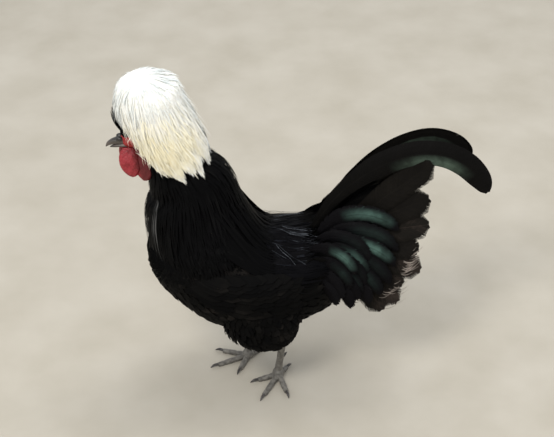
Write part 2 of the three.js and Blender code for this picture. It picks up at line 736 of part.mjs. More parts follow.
// The space that a half of the fan fills.
function fanSpace(side, grow = 0) {
  const rows = [];
  const normals = [];
  for (let i = 0; i <= 4; i++) {
    const shares = [-0.1, 0.15, 0.4, 0.65, 0.9, 1.12];
    const spread = shares.map((share) => rectrix(side, share));
    const p = ({ direction, length }) =>
      tailRoot(side).addScaledVector(direction, length * mix(0.1, 1.02, i / 4));
    rows.push(spread.map((one) => p(one).addScaledVector(Z_AXIS, -9 * (i / 4) ** 2)));
    normals.push(
      shares.map((share, k) => {
        const next = rectrix(side, share + 0.05).direction;
        return spread[k].direction.clone().cross(next).multiplyScalar(side).normalize();
      }),
    );
  }
  return sheet(rows, normals, 2 + RECTRICES * RECTRIX_STEP, grow);
}

const SICKLE_WIDTH = 36;
const SICKLES = {
  [LEFT]: [
    [14, 9, 246],
    [42, 15, 298],
    [77, 20, 335],
    [114, 22, 358],
    [150, 22, 368],
    [186, 22, 364],
    [216, 21, 347],
    [238, 19, 322],
    [250, 18, 300],
  ],
  [RIGHT]: [
    [18, 9, 240],
    [38, 12, 264],
    [58, 14, 290],
    [77, 15, 314],
    [105, 15, 344],
    [138, 15, 365],
    [171, 15, 373],
    [199, 15, 365],
    [217, 15, 350],
    [228, 15, 335],
  ],
};
function sickle(side, grow = 0) {
  const path = new THREE.CatmullRomCurve3(SICKLES[side].map(([x, y, z]) => at(x, side * y, z))).getPoints(9);
  const faces = path.map(() => at(0, side, 0.15));
  return feather(path, faces, SICKLE_WIDTH, { shape: hooked, droop: 0.12, thick: 1.2, grow });
}

// The coverts arch from the tail's sides and hang over it. Each row runs from the ridge downwards.
// rise and fall are a feather's slopes at its root and its tip, and spread its turn from the middle.
const COVERT_ROWS = [
  {
    top: [26, 25, 245],
    low: [38, 44, 198],
    rise: [56, -6],
    fall: [-38, -60],
    spread: [11, 27],
    length: [138, 78],
    count: 5,
  },
  {
    top: [20, 34, 239],
    low: [30, 52, 194],
    rise: [44, -16],
    fall: [-66, -84],
    spread: [17, 29],
    length: [90, 60],
    count: 4,
  },
];
const COVERT_WIDTH = 27;
function covertCore(side) {
  const root = new Loft([
    [25, side * 18, 256, 0, 0, 0],
    [27, side * 25, 246, 10, 10, 9],
    [31, side * 36, 220, 12, 12, 10],
    [36, side * 49, 195, 12, 12, 10],
    [36, side * 52, 185, 0, 0, 0],
  ]);
  return root.solid(5, 6);
}

function coverts(side) {
  const feathers = COVERT_ROWS.flatMap(({ top, low, rise, fall, spread, length, count }) =>
    Array.from({ length: count }, (_, k) => {
      const share = k / (count - 1);
      const turn = radians(mix(...spread, share));
      const steps = 4;
      const path = [at(...top.map((value, i) => mix(value, low[i], share)))];
      path[0].y *= side;
      const faces = [];
      for (let i = 0; i <= steps; i++) {
        const slope = radians(mix(mix(...rise, share), mix(...fall, share), i / steps));
        const out = heading(side, turn, slope);
        faces.push(at(-Math.sin(turn), side * Math.cos(turn), 0.2));
        if (i < steps) path.push(path[i].clone().addScaledVector(out, mix(...length, share) / steps));
      }
      return feather(path, faces, COVERT_WIDTH);
    }),
  );
  return fuse(covertCore(side), feathers);
}

// The scene

const SHADES = {
  black: { color: 0x0b0c0e, roughness: 0.42 },
  sheen: { color: 0x10261f, roughness: 0.35 },
  white: { color: 0xf3f1e6, roughness: 0.85 },
  red: { color: 0xab2430, roughness: 0.55 },
  horn: { color: 0x2d2b2a, roughness: 0.4 },
  iris: { color: 0x9c4a1c, roughness: 0.1 },
  lobe: { color: 0xe9e2d8, roughness: 0.6 },
  slate: { color: 0x5d6064, roughness: 0.6 },
};

const bird = new THREE.Group();
function add(name, solid, shade) {
  const mesh = new THREE.Mesh(
    geometryOf(solid),
    new THREE.MeshStandardMaterial({ ...SHADES[shade], metalness: 0 }),
  );
  mesh.name = name;
  bird.add(mesh);
  return mesh;
}
// Adds a left and a right node, made by shape(side) and cut clear of what meets them.
function addPair(name, shape, cutters, shade) {
  for (const [word, side] of SIDES) add(`${name}_${word}`, cut(shape(side), cutters(side)), shade);
}
const both = (shape) => SIDES.map(([, side]) => shape(side, GAP));
const half = (side) => block([-FAR, side > 0 ? -FAR : -GAP / 2, -FAR], [FAR, side > 0 ? GAP / 2 : FAR, FAR]);

const trunk = [torso(GAP), rumpCore(GAP)];
const wingSpaces = both(wingSpace);
add("torso", torso(), "black");
addPair("wing", wing, () => trunk, "black");
add("rump", rump(), "black");

const eyes = both(eye);
const coreCut = neckCore(GAP);
add("head", cut(head(), coreCut, eyes), "red");
addPair("eye", eye, () => [], "iris");
const headCut = head(GAP);
add("beak_upper", cut(beakTop(), headCut), "horn");
add("beak_lower", cut(beakLow(), headCut, beakTop(GAP)), "horn");
const beakCut = [beakTop(GAP), beakLow(GAP)];
addPair("wattle", wattle, (side) => [headCut, ...beakCut, coreCut, half(side)], "red");
addPair("earlobe", earlobe, () => [headCut, coreCut, ...both(wattle)], "lobe");
add("comb", cut(comb(), headCut, beakCut), "red");
const face = [faceHollow(), headCut, ...beakCut, ...both(earlobe), ...both(wattle)];
add("neck", fuse(cut(neckCore(), trunk), cut(fuse(hackles()), trunk, wingSpaces, face)), "black");
add("crest_band", cut(crestBand(), headCut, comb(GAP), beakCut), "black");
add("crest", cut(crest(), face, comb(GAP), cape(GAP), crestBand(2 * GAP)), "white");

const body = [...trunk, ...wingSpaces];
addPair("thigh", thigh, (side) => [...body, half(side)], "black");
addPair("shank", shank, (side) => [thigh(side, GAP)], "slate");
addPair("foot", foot, (side) => [shank(side, GAP)], "slate");
addPair("spur", spur, (side) => [shank(side, GAP)], "horn");
TOES.forEach((toe, i) => {
  for (const [word, side] of SIDES) {
    add(`claw_${word}_${i + 1}`, cut(claw(side, toe), foot(side, GAP)), "horn");
  }
});

addPair("tail_fan", tailFan, (side) => [...trunk, half(side)], "black");
const fans = [...both(fanSpace), ...both(tailCore)];
addPair("tail_coverts", coverts, (side) => [...trunk, ...fans, half(side)], "sheen");
addPair("sickle", sickle, (side) => [...trunk, ...fans, half(side)], "sheen");

export default bird;
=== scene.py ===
"""A white-crested black polish cock, standing still on the floor, dressed over its solids.

Blender works in metres. The shapes below are in millimetres, and piece() and feathers() turn
them into metres. +Z is up, the bird faces -X, and its left side is towards -Y.
"""
import math

import bpy
import numpy as np
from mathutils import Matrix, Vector


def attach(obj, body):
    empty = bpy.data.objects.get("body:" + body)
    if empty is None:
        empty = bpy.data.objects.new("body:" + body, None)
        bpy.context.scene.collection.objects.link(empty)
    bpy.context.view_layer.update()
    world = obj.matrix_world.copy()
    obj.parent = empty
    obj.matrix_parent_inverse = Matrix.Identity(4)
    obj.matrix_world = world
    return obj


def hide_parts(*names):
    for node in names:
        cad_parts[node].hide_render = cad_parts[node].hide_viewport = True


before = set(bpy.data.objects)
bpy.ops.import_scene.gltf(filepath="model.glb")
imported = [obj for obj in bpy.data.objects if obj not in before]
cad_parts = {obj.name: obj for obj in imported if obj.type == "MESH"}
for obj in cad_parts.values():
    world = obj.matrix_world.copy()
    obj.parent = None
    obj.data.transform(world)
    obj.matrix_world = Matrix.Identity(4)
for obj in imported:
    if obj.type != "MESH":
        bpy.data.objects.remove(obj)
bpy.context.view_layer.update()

MM = 0.001
LEFT, RIGHT = -1, 1
SIDES = (("left", LEFT), ("right", RIGHT))
FULL = 2 * math.pi

# Camera

IMAGE_WIDTH = 554  # pixels
FOCAL_PIXELS = 1480
SENSOR = 36.0
CAMERA = {"azimuth": -5.0, "elevation": 35.0, "distance": 2.0, "target": (-0.032, 0.0, 0.262)}
VIEW_RANGE = (0.05, 50)


def placed(name, data, location, direction):
    """A camera or a lamp in the scene, which looks in a direction."""
    made = bpy.data.objects.new(name, data)
    made.location = location
    made.rotation_euler = direction.to_track_quat("-Z", "Y").to_euler()
    bpy.context.collection.objects.link(made)
    return made


def place_camera():
    data = bpy.data.cameras.new("camera")
    data.sensor_width = SENSOR
    data.lens = SENSOR * FOCAL_PIXELS / IMAGE_WIDTH
    data.clip_start, data.clip_end = VIEW_RANGE
    azimuth, elevation = math.radians(CAMERA["azimuth"]), math.radians(CAMERA["elevation"])
    level = math.cos(elevation)
    back = Vector((math.sin(azimuth) * level, -math.cos(azimuth) * level, math.sin(elevation)))
    place = Vector(CAMERA["target"]) + back * CAMERA["distance"]
    bpy.context.scene.camera = placed("camera", data, place, -back)


# Shapes


def spline(points, u):
    """Points of a smooth curve through the given ones, at u from 0 to 1."""
    points = np.asarray(points, float)
    last = len(points) - 1
    place = np.clip(u, 0, 1) * last
    i = np.minimum(place.astype(int), last - 1)
    t = (place - i)[..., None]
    padded = np.vstack([2 * points[0] - points[1], points, 2 * points[-1] - points[-2]])
    p0, p1, p2, p3 = (padded[i + k] for k in range(4))
    return 0.5 * (
        2 * p1
        + (p2 - p0) * t
        + (2 * p0 - 5 * p1 + 4 * p2 - p3) * t**2
        + (3 * p1 - p0 - 3 * p2 + p3) * t**3
    )


def unit(vectors):
    return vectors / np.maximum(np.linalg.norm(vectors, axis=-1, keepdims=True), 1e-9)


def dot(a, b):
    return (a * b).sum(-1)


def mix(a, b, t):
    return a + (b - a) * t


def ramped(value, low, high):
    """0 below low, 1 above high, and smooth between them."""
    t = np.clip((value - low) / (high - low), 0, 1)
    return t * t * (3 - 2 * t)


def hump(value, at, spread):
    """1 at a place, and falling off smoothly on both sides of it."""
    return np.exp(-(((value - at) / spread) ** 2))


class Loft:
    """A rounded body along a smooth spine from its head end to its tail end.

    A station is (x, y, z, side, up, down): a centre, and the half sizes of the section there.
    A place on it is (u, angle). u runs from 0 to 1 along the spine. Angle 0 is on top, and it
    grows towards the right side.
    """

    STEP = 1e-3  # half the stretch of u for the spine's direction
    NEAR = 0.01  # half the stretch for a normal
    WIDER = 0.02  # half the stretch for a speed, and the step between the sections in outside()
    LEAST = 0.01  # the least half size of a section, in millimetres

    def __init__(self, stations):
        self.stations = np.array(stations, float)

    def frame(self, u):
        u = np.asarray(u, float)
        here = spline(self.stations, u)
        near = np.clip(u, self.STEP, 1 - self.STEP)
        ahead, behind = (spline(self.stations[:, :3], near + s * self.STEP) for s in (1, -1))
        along = unit(ahead - behind)
        side = unit(np.array([0.0, 1.0, 0.0]) - along * along[..., 1:2])
        return here[..., :3], here[..., 3:], along, side, np.cross(along, side)

    def point(self, u, angle, lift=0.0, scale=1.0):
        centre, size, _, side, up = self.frame(u)
        rise = np.cos(angle)
        high = np.where(rise > 0, size[..., 1], size[..., 2]) * scale + lift
        wide = size[..., 0] * scale + lift
        return (
            centre
            + side * (np.maximum(wide, self.LEAST) * np.sin(angle))[..., None]
            + up * (np.maximum(high, self.LEAST) * rise)[..., None]
        )

    def normal(self, u, angle):
        low = np.clip(u - self.NEAR, self.NEAR, 1 - 3 * self.NEAR)
        high = np.clip(u + self.NEAR, 3 * self.NEAR, 1 - self.NEAR)
        along = self.point(high, angle) - self.point(low, angle)
        around = self.point(u, angle + 0.02) - self.point(u, angle - 0.02)
        return unit(np.cross(around, along))

    def girth(self, u):
        size = self.frame(u)[1]
        return math.pi * (size[..., 0] + (size[..., 1] + size[..., 2]) / 2)

    def speed(self, u, angle):
        """Millimetres of surface that u runs over, for a whole u of 1."""
        low = np.clip(u - self.WIDER, 0, 1 - 2 * self.WIDER)
        high = np.clip(u + self.WIDER, 2 * self.WIDER, 1)
        return np.linalg.norm(self.point(high, angle) - self.point(low, angle), axis=-1) / (2 * self.WIDER)

    def outside(self, points, faces, margin):
        """Points and faces, moved out along their section where they are nearer than margin."""
        best = np.full(points.shape[:-1], np.inf)
        across, high = np.zeros_like(best), np.zeros_like(best)
        kept = [np.zeros_like(points) for _ in range(3)]
        sizes = np.zeros_like(points)
        for u in np.arange(self.WIDER, 0.99, self.WIDER):
            centre, size, along, side, up = self.frame(u)
            away = points - centre
            off = np.abs(dot(away, along))
            near = off < best
            best = np.where(near, off, best)
            across = np.where(near, dot(away, side), across)
            high = np.where(near, dot(away, up), high)
            for store, value in zip((*kept, sizes), (centre, side, up, size)):
                store[near] = value
        centre, side, up = kept
        wide = sizes[..., 0] + margin
        tall = np.where(high > 0, sizes[..., 1], sizes[..., 2]) + margin
        share = np.maximum(np.hypot(across / wide, high / tall), 1e-3)
        inside = (share < 1)[..., None]
        moved = centre + side * (across / share)[..., None] + up * (high / share)[..., None]
        turned = unit(side * (across / wide**2)[..., None] + up * (high / tall**2)[..., None])
        return np.where(inside, moved, points), np.where(inside, turned, faces)

    def tube(self, along, around, lift=0.0, scale=1.0, relief=None, span=(0.004, 0.996)):
        """Vertices and faces of the whole body. relief(u, angle) raises its surface."""
        u = np.linspace(*span, along)[:, None] * np.ones((1, around))
        angle = np.linspace(0, FULL, around, endpoint=False)[None, :] * np.ones((along, 1))
        extra = lift + (relief(u, angle) if relief else 0.0)
        rings = self.point(u, angle, extra, scale)
        verts = list(rings.reshape(-1, 3)) + [rings[0].mean(0), rings[-1].mean(0)]
        faces = []
        for i in range(along - 1):
            for k in range(around):
                a, b = i * around + k, i * around + (k + 1) % around
                faces.append((a, a + around, b + around, b))
        first, last, top = along * around, along * around + 1, (along - 1) * around
        for k in range(around):
            faces.append((first, k, (k + 1) % around))
            faces.append((last, top + (k + 1) % around, top + k))
        return verts, faces


# The bird's forms, as in its solids

BODY = Loft([
    (-202, 0, 241, 0, 0, 0),
    (-197, 0, 239, 32, 32, 28),
    (-176, 0, 231, 58, 52, 53),
    (-138, 0, 214, 76, 62, 75),
    (-95, 0, 199, 81, 59, 97),
    (-52, 0, 192, 78, 54, 103),
    (-12, 0, 195, 70, 51, 93),
    (22, 0, 207, 56, 43, 80),
    (47, 0, 221, 38, 30, 56),
    (64, 0, 233, 0, 0, 0),
])
CAPE = Loft([
    (-190, 0, 402, 16, 18, 14),
    (-176, 0, 376, 31, 34, 30),
    (-161, 0, 350, 41, 48, 46),
    (-148, 0, 323, 51, 61, 58),
    (-142, 0, 283, 65, 68, 69),
    (-135, 0, 258, 75, 68, 74),
    (-126, 0, 236, 80, 66, 74),
])
CREST = Loft([
    (-207, 0, 491, 0, 0, 0),
    (-206, 0, 487, 26, 22, 25),
    (-203, 0, 472, 42, 40, 40),
    (-196, 0, 449, 49, 46, 45),
    (-187, 0, 422, 51, 50, 41),
    (-175, 0, 395, 51, 50, 43),
    (-161, 0, 371, 47, 45, 36),
    (-149, 0, 351, 41, 36, 24),
])
SKULL = Loft([
    (-233.5, 0, 396, 0, 0, 0),
    (-231, 0, 397, 7, 8, 8),
    (-222, 0, 400, 12.5, 15, 13),
    (-208, 0, 403, 16, 21, 17),
    (-192, 0, 401, 16.5, 20, 17),
    (-179, 0, 394, 11, 12, 11),
    (-173, 0, 391, 0, 0, 0),
])

FEET = {
    LEFT: {"x": -32, "y": -22, "heading": 60},
    RIGHT: {"x": -72, "y": 24, "heading": -20},
}
EYE = {"x": -214, "y": 13.4, "z": 405, "radius": 4.6}
SHANK_TOP = {"back": 6, "y": 31, "z": 88}


def shank_top(side):
    return FEET[side]["x"] + SHANK_TOP["back"], side * SHANK_TOP["y"], SHANK_TOP["z"]


def thigh(side):
    x, y, z = shank_top(side)
    return Loft([
        (x - 46, side * 46, z + 94, 0, 0, 0),
        (x - 42, side * 47, z + 80, 28, 40, 40),
        (x - 28, side * 48, z + 48, 33, 46, 46),
        (x - 15, side * 44, z + 19, 29, 37, 39),
        (x - 4, mix(y, side * 44, 0.3), z - 2, 18, 21, 27),
        (x + 1, y, z - 14, 4, 4, 4),
    ])


THIGHS = {side: thigh(side) for _, side in SIDES}

# Materials


def principled(name, **inputs):
    """A material, its node tree, and its shader with the given inputs set."""
    material = bpy.data.materials.new(name)
    material.use_nodes = True
    tree = material.node_tree
    shader = tree.nodes["Principled BSDF"]
    for socket, value in inputs.items():
        shader.inputs[socket.replace("_", " ")].default_value = value
    return material, tree, shader


def node(tree, kind, given=(), **settings):
    """A new node. given sets its inputs by index or name, each to a value or another node's socket."""
    made = tree.nodes.new(kind)
    for key, value in settings.items():
        setattr(made, key, value)
    for key, value in dict(given).items():
        if isinstance(value, bpy.types.NodeSocket):
            tree.links.new(value, made.inputs[key])
        else:
            made.inputs[key].default_value = value
    return made


def ramp(tree, source, stops):
    """A colour ramp on a value. A stop is its place and a colour, or its place and one grey value."""
    made = node(tree, "ShaderNodeValToRGB", {"Fac": source})
    elements = made.color_ramp.elements
    while len(elements) < len(stops):
        elements.new(1.0)
    for element, (place, colour) in zip(elements, stops):
        element.position = place
        element.color = (*colour, 1.0) if isinstance(colour, tuple) else (colour, colour, colour, 1.0)
    return made.outputs["Color"]


def attribute(tree, name):
    return node(tree, "ShaderNodeAttribute", attribute_name=name).outputs["Fac"]


def own_place(tree):
    """The place on the object itself, in metres."""
    return node(tree, "ShaderNodeTexCoord").outputs["Object"]


def noise(tree, scale, detail=3.0):
    given = {"Vector": own_place(tree), "Scale": scale, "Detail": detail}
    return node(tree, "ShaderNodeTexNoise", given).outputs["Fac"]


def blend(tree, first, second, factor):
    """A mix of two colours, each a socket or a colour."""
    first, second = ((*value, 1.0) if isinstance(value, tuple) else value for value in (first, second))
    made = node(tree, "ShaderNodeMix", data_type="RGBA")
    for socket, value in ((6, first), (7, second), (0, factor)):
        if isinstance(value, bpy.types.NodeSocket):
            tree.links.new(value, made.inputs[socket])
        else:
            made.inputs[socket].default_value = value
    return made.outputs[2]


def maths(tree, operation, a, b=0.0):
    return node(tree, "ShaderNodeMath", {0: a, 1: b}, operation=operation).outputs[0]


def bump(tree, shader, height, strength, distance):
    made = node(tree, "ShaderNodeBump", {"Strength": strength, "Distance": distance, "Height": height})
    tree.links.new(made.outputs["Normal"], shader.inputs["Normal"])


BARB_SLANT = 3.0  # how many ribs further along a vane's edges are than its shaft
PATCH_FULL = (0.45, 0.6)  # the shares of a shining patch's length between which it is full
PATCH_ACROSS = (0.15, 0.75)  # where it begins to fade across the feather, and where it ends


def barbs(tree, count):
    """The fine ribs of a vane, which leave its shaft at a slant: a value from 0 to 1."""
    across = maths(tree, "ABSOLUTE", attribute(tree, "across"))
    along = maths(tree, "MULTIPLY", attribute(tree, "along"), count)
    slanted = maths(tree, "SUBTRACT", along, maths(tree, "MULTIPLY", across, BARB_SLANT))
    wave = maths(tree, "SINE", maths(tree, "MULTIPLY", slanted, FULL))
    return maths(tree, "MULTIPLY_ADD", wave, 0.5)


def shining(tree, span, middle):
    """How strongly a feather shines at a place, from 0 to 1: in one soft uneven patch of painted sheen."""
    first, last = span
    stops = [(first, 0.0), *((mix(first, last, share), 1.0) for share in PATCH_FULL), (last, 0.0)]
    along = ramp(tree, attribute(tree, "along"), stops)
    away = maths(tree, "ABSOLUTE", maths(tree, "SUBTRACT", attribute(tree, "edge"), middle))
    across = ramp(tree, away, [(PATCH_ACROSS[0], 1.0), (PATCH_ACROSS[1], 0.0)])
    uneven = ramp(tree, noise(tree, 90.0, 2.0), [(0.35, 0.55), (0.6, 1.0)])
    area = maths(tree, "MULTIPLY", along, across)
    area = maths(tree, "MULTIPLY", area, attribute(tree, "shine"))
    return maths(tree, "MULTIPLY", area, uneven)


def feather_material(
    name, stops, *, count, roughness, specular, sheen=0.0, strength=0.3, patch=None, painted_sheen=0.0
):
    """The finish of a vane, coloured by its own tone.

    count is the number of ribs along it. patch is the colour of a shining patch of painted sheen, the
    share of the feather's length where it begins and ends, and how far across from the shaft it lies,
    from -1 to 1. The last argument is how far broad patches of the plumage turn to the palest tone,
    which paints a grey sheen on them.
    """
    material, tree, shader = principled(
        name, Roughness=roughness, Specular_IOR_Level=specular, Sheen_Weight=sheen, Sheen_Roughness=0.5
    )
    tone = maths(tree, "ADD", attribute(tree, "tone"), maths(tree, "MULTIPLY", noise(tree, 60.0), 0.4))
    # painted sheen: broad patches turn towards the palest tone
    if painted_sheen:
        tone = maths(tree, "ADD", tone, ramp(tree, noise(tree, 16.0, 2.0), [(0.5, 0.0), (0.68, painted_sheen)]))
    colour = ramp(tree, maths(tree, "SUBTRACT", tone, 0.2), stops)
    if patch:
        shade, span, middle = patch
        colour = blend(tree, colour, shade, shining(tree, span, middle))
    tree.links.new(colour, shader.inputs["Base Color"])
    bump(tree, shader, barbs(tree, count), strength, 0.0003)
    return material


SICKLE_BAND = 0.72  # how far out on a sickle's lower web its band of painted green sheen lies
BLACK = feather_material(
    "black_plumage",
    [(0.0, (0.0022, 0.0022, 0.0024)), (0.6, (0.0042, 0.0040, 0.0038)), (1.0, (0.016, 0.014, 0.0125))],
    count=26.0, roughness=0.6, specular=0.025, painted_sheen=0.35,
)
# Its palest tone is a painted highlight, for the grey streaks on the throat.
HACKLE = feather_material(
    "black_hackle",
    [(0.0, (0.0022, 0.0022, 0.0024)), (0.75, 0.0045), (1.0, (0.10, 0.10, 0.098))],
    count=40.0, roughness=0.5, specular=0.03,
)
# Its palest tones are painted highlights: the silvery streaks over the saddle.
HIGHLIGHTED_BLACK = feather_material(
    "black_painted_highlights",
    [
        (0.0, (0.002, 0.002, 0.0025)),
        (0.55, (0.004, 0.004, 0.005)),
        (0.8, (0.012, 0.013, 0.017)),
        (1.0, (0.20, 0.22, 0.25)),
    ],
    count=34.0, roughness=0.45, specular=0.025,
)
TAIL = feather_material(
    "brown_black_tail",
    [
        (0.0, (0.0042, 0.0036, 0.003)),
        (0.5, (0.0105, 0.009, 0.0072)),
        (0.8, (0.040, 0.030, 0.025)),
        (1.0, (0.36, 0.31, 0.27)),
    ],
    count=60.0, roughness=0.55, specular=0.05,
)
SHEEN = feather_material(
    "green_sheen_plumage",
    [(0.0, (0.0026, 0.0022, 0.0028)), (0.6, (0.0045, 0.0042, 0.005)), (1.0, (0.014, 0.012, 0.014))],
    count=50.0, roughness=0.45, specular=0.045, patch=((0.085, 0.155, 0.13), (0.36, 0.95), 0.0),
)
DARK_SHEEN = feather_material(
    "dark_sheen_plumage",
    [(0.0, (0.0028, 0.0026, 0.0024)), (0.6, (0.0055, 0.005, 0.0046)), (1.0, (0.015, 0.0135, 0.012))],
    count=60.0, roughness=0.6, specular=0.05, patch=((0.085, 0.12, 0.092), (0.36, 0.84), SICKLE_BAND),
)
# Its last stop, greyer and bluish, paints the bright light on the top of the crest.
WHITE = feather_material(
    "white_plumage",
    [
        (0.0, (0.84, 0.74, 0.48)),
        (0.3, (0.92, 0.865, 0.665)),
        (0.65, (0.92, 0.90, 0.82)),
        (1.0, (0.69, 0.73, 0.725)),
    ],
    count=30.0, roughness=0.95, specular=0.1, sheen=0.2, strength=0.06,
)


def skin_material():
    """Black down over the body, which turns red and grained on the bare face."""
    material, tree, shader = principled("skin", Roughness=0.6)
    bare = attribute(tree, "bare")
    red = ramp(tree, noise(tree, 260.0), [(0.3, (0.22, 0.012, 0.012)), (0.7, (0.42, 0.03, 0.03))])
    down = ramp(tree, noise(tree, 180.0), [(0.3, (0.004, 0.004, 0.004)), (0.8, (0.012, 0.012, 0.012))])
    coloured = blend(tree, blend(tree, down, red, bare), (0.7, 0.67, 0.58), attribute(tree, "pale"))
    tree.links.new(coloured, shader.inputs["Base Color"])
    bump(tree, shader, noise(tree, 700.0), 0.6, 0.0008)
    return material


def red_material():
    """Bare red skin, grained, with painted shade where a wattle's rear lobe lies deep behind the front one.
    """
    material, tree, shader = principled("red_skin", Roughness=0.42, Subsurface_Weight=0.15)
    shader.inputs["Subsurface Radius"].default_value = (0.004, 0.0012, 0.0008)
    grain = noise(tree, 420.0, 2.0)
    halves = (maths(tree, "MULTIPLY", value, 0.5) for value in (grain, noise(tree, 70.0, 2.0)))
    stops = [(0.3, (0.15, 0.006, 0.009)), (0.5, (0.30, 0.016, 0.024)), (0.75, (0.42, 0.045, 0.055))]
    colour = ramp(tree, maths(tree, "ADD", *halves), stops)
    # painted shade: the rear lobe of a wattle is darkened in its colour
    painted_shade_share = maths(tree, "MULTIPLY", attribute(tree, "painted_shade"), 0.9)
    tree.links.new(blend(tree, colour, (0.10, 0.004, 0.006), painted_shade_share), shader.inputs["Base Color"])
    bump(tree, shader, grain, 0.7, 0.0012)
    return material


def plain_material(name, low, high, scale, roughness, strength=0.3):
    """Two colours, mixed by an even grain that also roughens the surface."""
    material, tree, shader = principled(name, Roughness=roughness)
    value = noise(tree, scale)
    tree.links.new(ramp(tree, value, [(0.3, low), (0.7, high)]), shader.inputs["Base Color"])
    bump(tree, shader, value, strength, 0.0005)
    return material


BEAK_HEIGHT = (386, 18)  # its lower edge over the floor, and its own height


def beak_material():
    """Dark horn along the ridge and the edges, paler and pinkish on the sides."""
    material, tree, shader = principled("beak_horn", Roughness=0.38)
    split = node(tree, "ShaderNodeSeparateXYZ", {0: own_place(tree)})
    above = maths(tree, "SUBTRACT", split.outputs["Z"], BEAK_HEIGHT[0] * MM)
    height = maths(tree, "DIVIDE", above, BEAK_HEIGHT[1] * MM)
    height = maths(tree, "ADD", height, maths(tree, "MULTIPLY", noise(tree, 200.0), 0.12))
    stops = [
        (0.2, (0.028, 0.025, 0.022)),
        (0.48, (0.12, 0.098, 0.085)),
        (0.72, (0.075, 0.064, 0.055)),
        (1.0, (0.02, 0.018, 0.016)),
    ]
    tree.links.new(ramp(tree, height, stops), shader.inputs["Base Color"])
    bump(tree, shader, noise(tree, 300.0), 0.2, 0.0004)
    return material


def eye_material():
    """An orange iris round a black pupil, by the distance from the eye's own axis."""
    material, tree, shader = principled("eyeball", Roughness=0.08, Coat_Weight=1.0, Coat_Roughness=0.02)
    vector = lambda operation, given: node(tree, "ShaderNodeVectorMath", given, operation=operation).outputs
    centred = vector("SUBTRACT", {0: own_place(tree), 1: (EYE["x"] * MM, 0, EYE["z"] * MM)})[0]
    flat = vector("MULTIPLY", {0: centred, 1: (1, 0, 1)})[0]
    share = maths(tree, "DIVIDE", vector("LENGTH", {0: flat})["Value"], EYE["radius"] * MM)
    stops = [
        (0.30, 0.002),
        (0.34, (0.5, 0.13, 0.02)),
        (0.62, (0.38, 0.08, 0.015)),
        (0.72, (0.05, 0.02, 0.01)),
    ]
    tree.links.new(ramp(tree, share, stops), shader.inputs["Base Color"])
    return material


SKIN = skin_material()
DOWN = plain_material("white_down", (0.86, 0.84, 0.76), (0.92, 0.92, 0.90), 260.0, 0.95, 0.6)
RED = red_material()
LOBE = plain_material("earlobe_skin", (0.62, 0.56, 0.50), (0.82, 0.78, 0.72), 300.0, 0.55)
HORN = plain_material("horn", (0.016, 0.014, 0.013), (0.07, 0.062, 0.058), 120.0, 0.35)
SCALES = plain_material("leg_scales", (0.080, 0.074, 0.064), (0.205, 0.192, 0.168), 220.0, 0.5)
BEAK = beak_material()
EYEBALL = eye_material()

# Making pieces


def piece(name, verts, faces, material, slot, replaced=()):
    """A smooth mesh in millimetres as a finished piece of the bird."""
    mesh = bpy.data.meshes.new(name)
    mesh.from_pydata([tuple(np.asarray(v) * MM) for v in verts], [], faces)
    mesh.materials.append(material)
    mesh.polygons.foreach_set("use_smooth", [True] * len(mesh.polygons))
    mesh.update()
    made = bpy.data.objects.new(name, mesh)
    bpy.context.collection.objects.link(made)
    return declared(made, replaced)


def declared(made, replaced):
    """Says what a piece rides on, and hides the solids that it stands for."""
    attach(made, "root")
    if replaced:
        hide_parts(*replaced)
    return made


def evaluated_mesh(made):
    """The mesh of an object with its modifiers, which are then removed."""
    bpy.context.view_layer.update()
    graph = bpy.context.evaluated_depsgraph_get()
    mesh = bpy.data.meshes.new_from_object(made.evaluated_get(graph))
    made.modifiers.clear()
    made.data = mesh
    return mesh


VANE_CORNERS = 3  # of a vane's section, which is a flat triangle
BAKE_PATCH = 0.0015  # half of a vane's patch in the bake map
INPUTS = {
    "Guides": "Geometry",
    "Ridge": "Float",
    "Corners": "Int",
    "Bake Patch": "Float",
    "Finish": "Material",
}


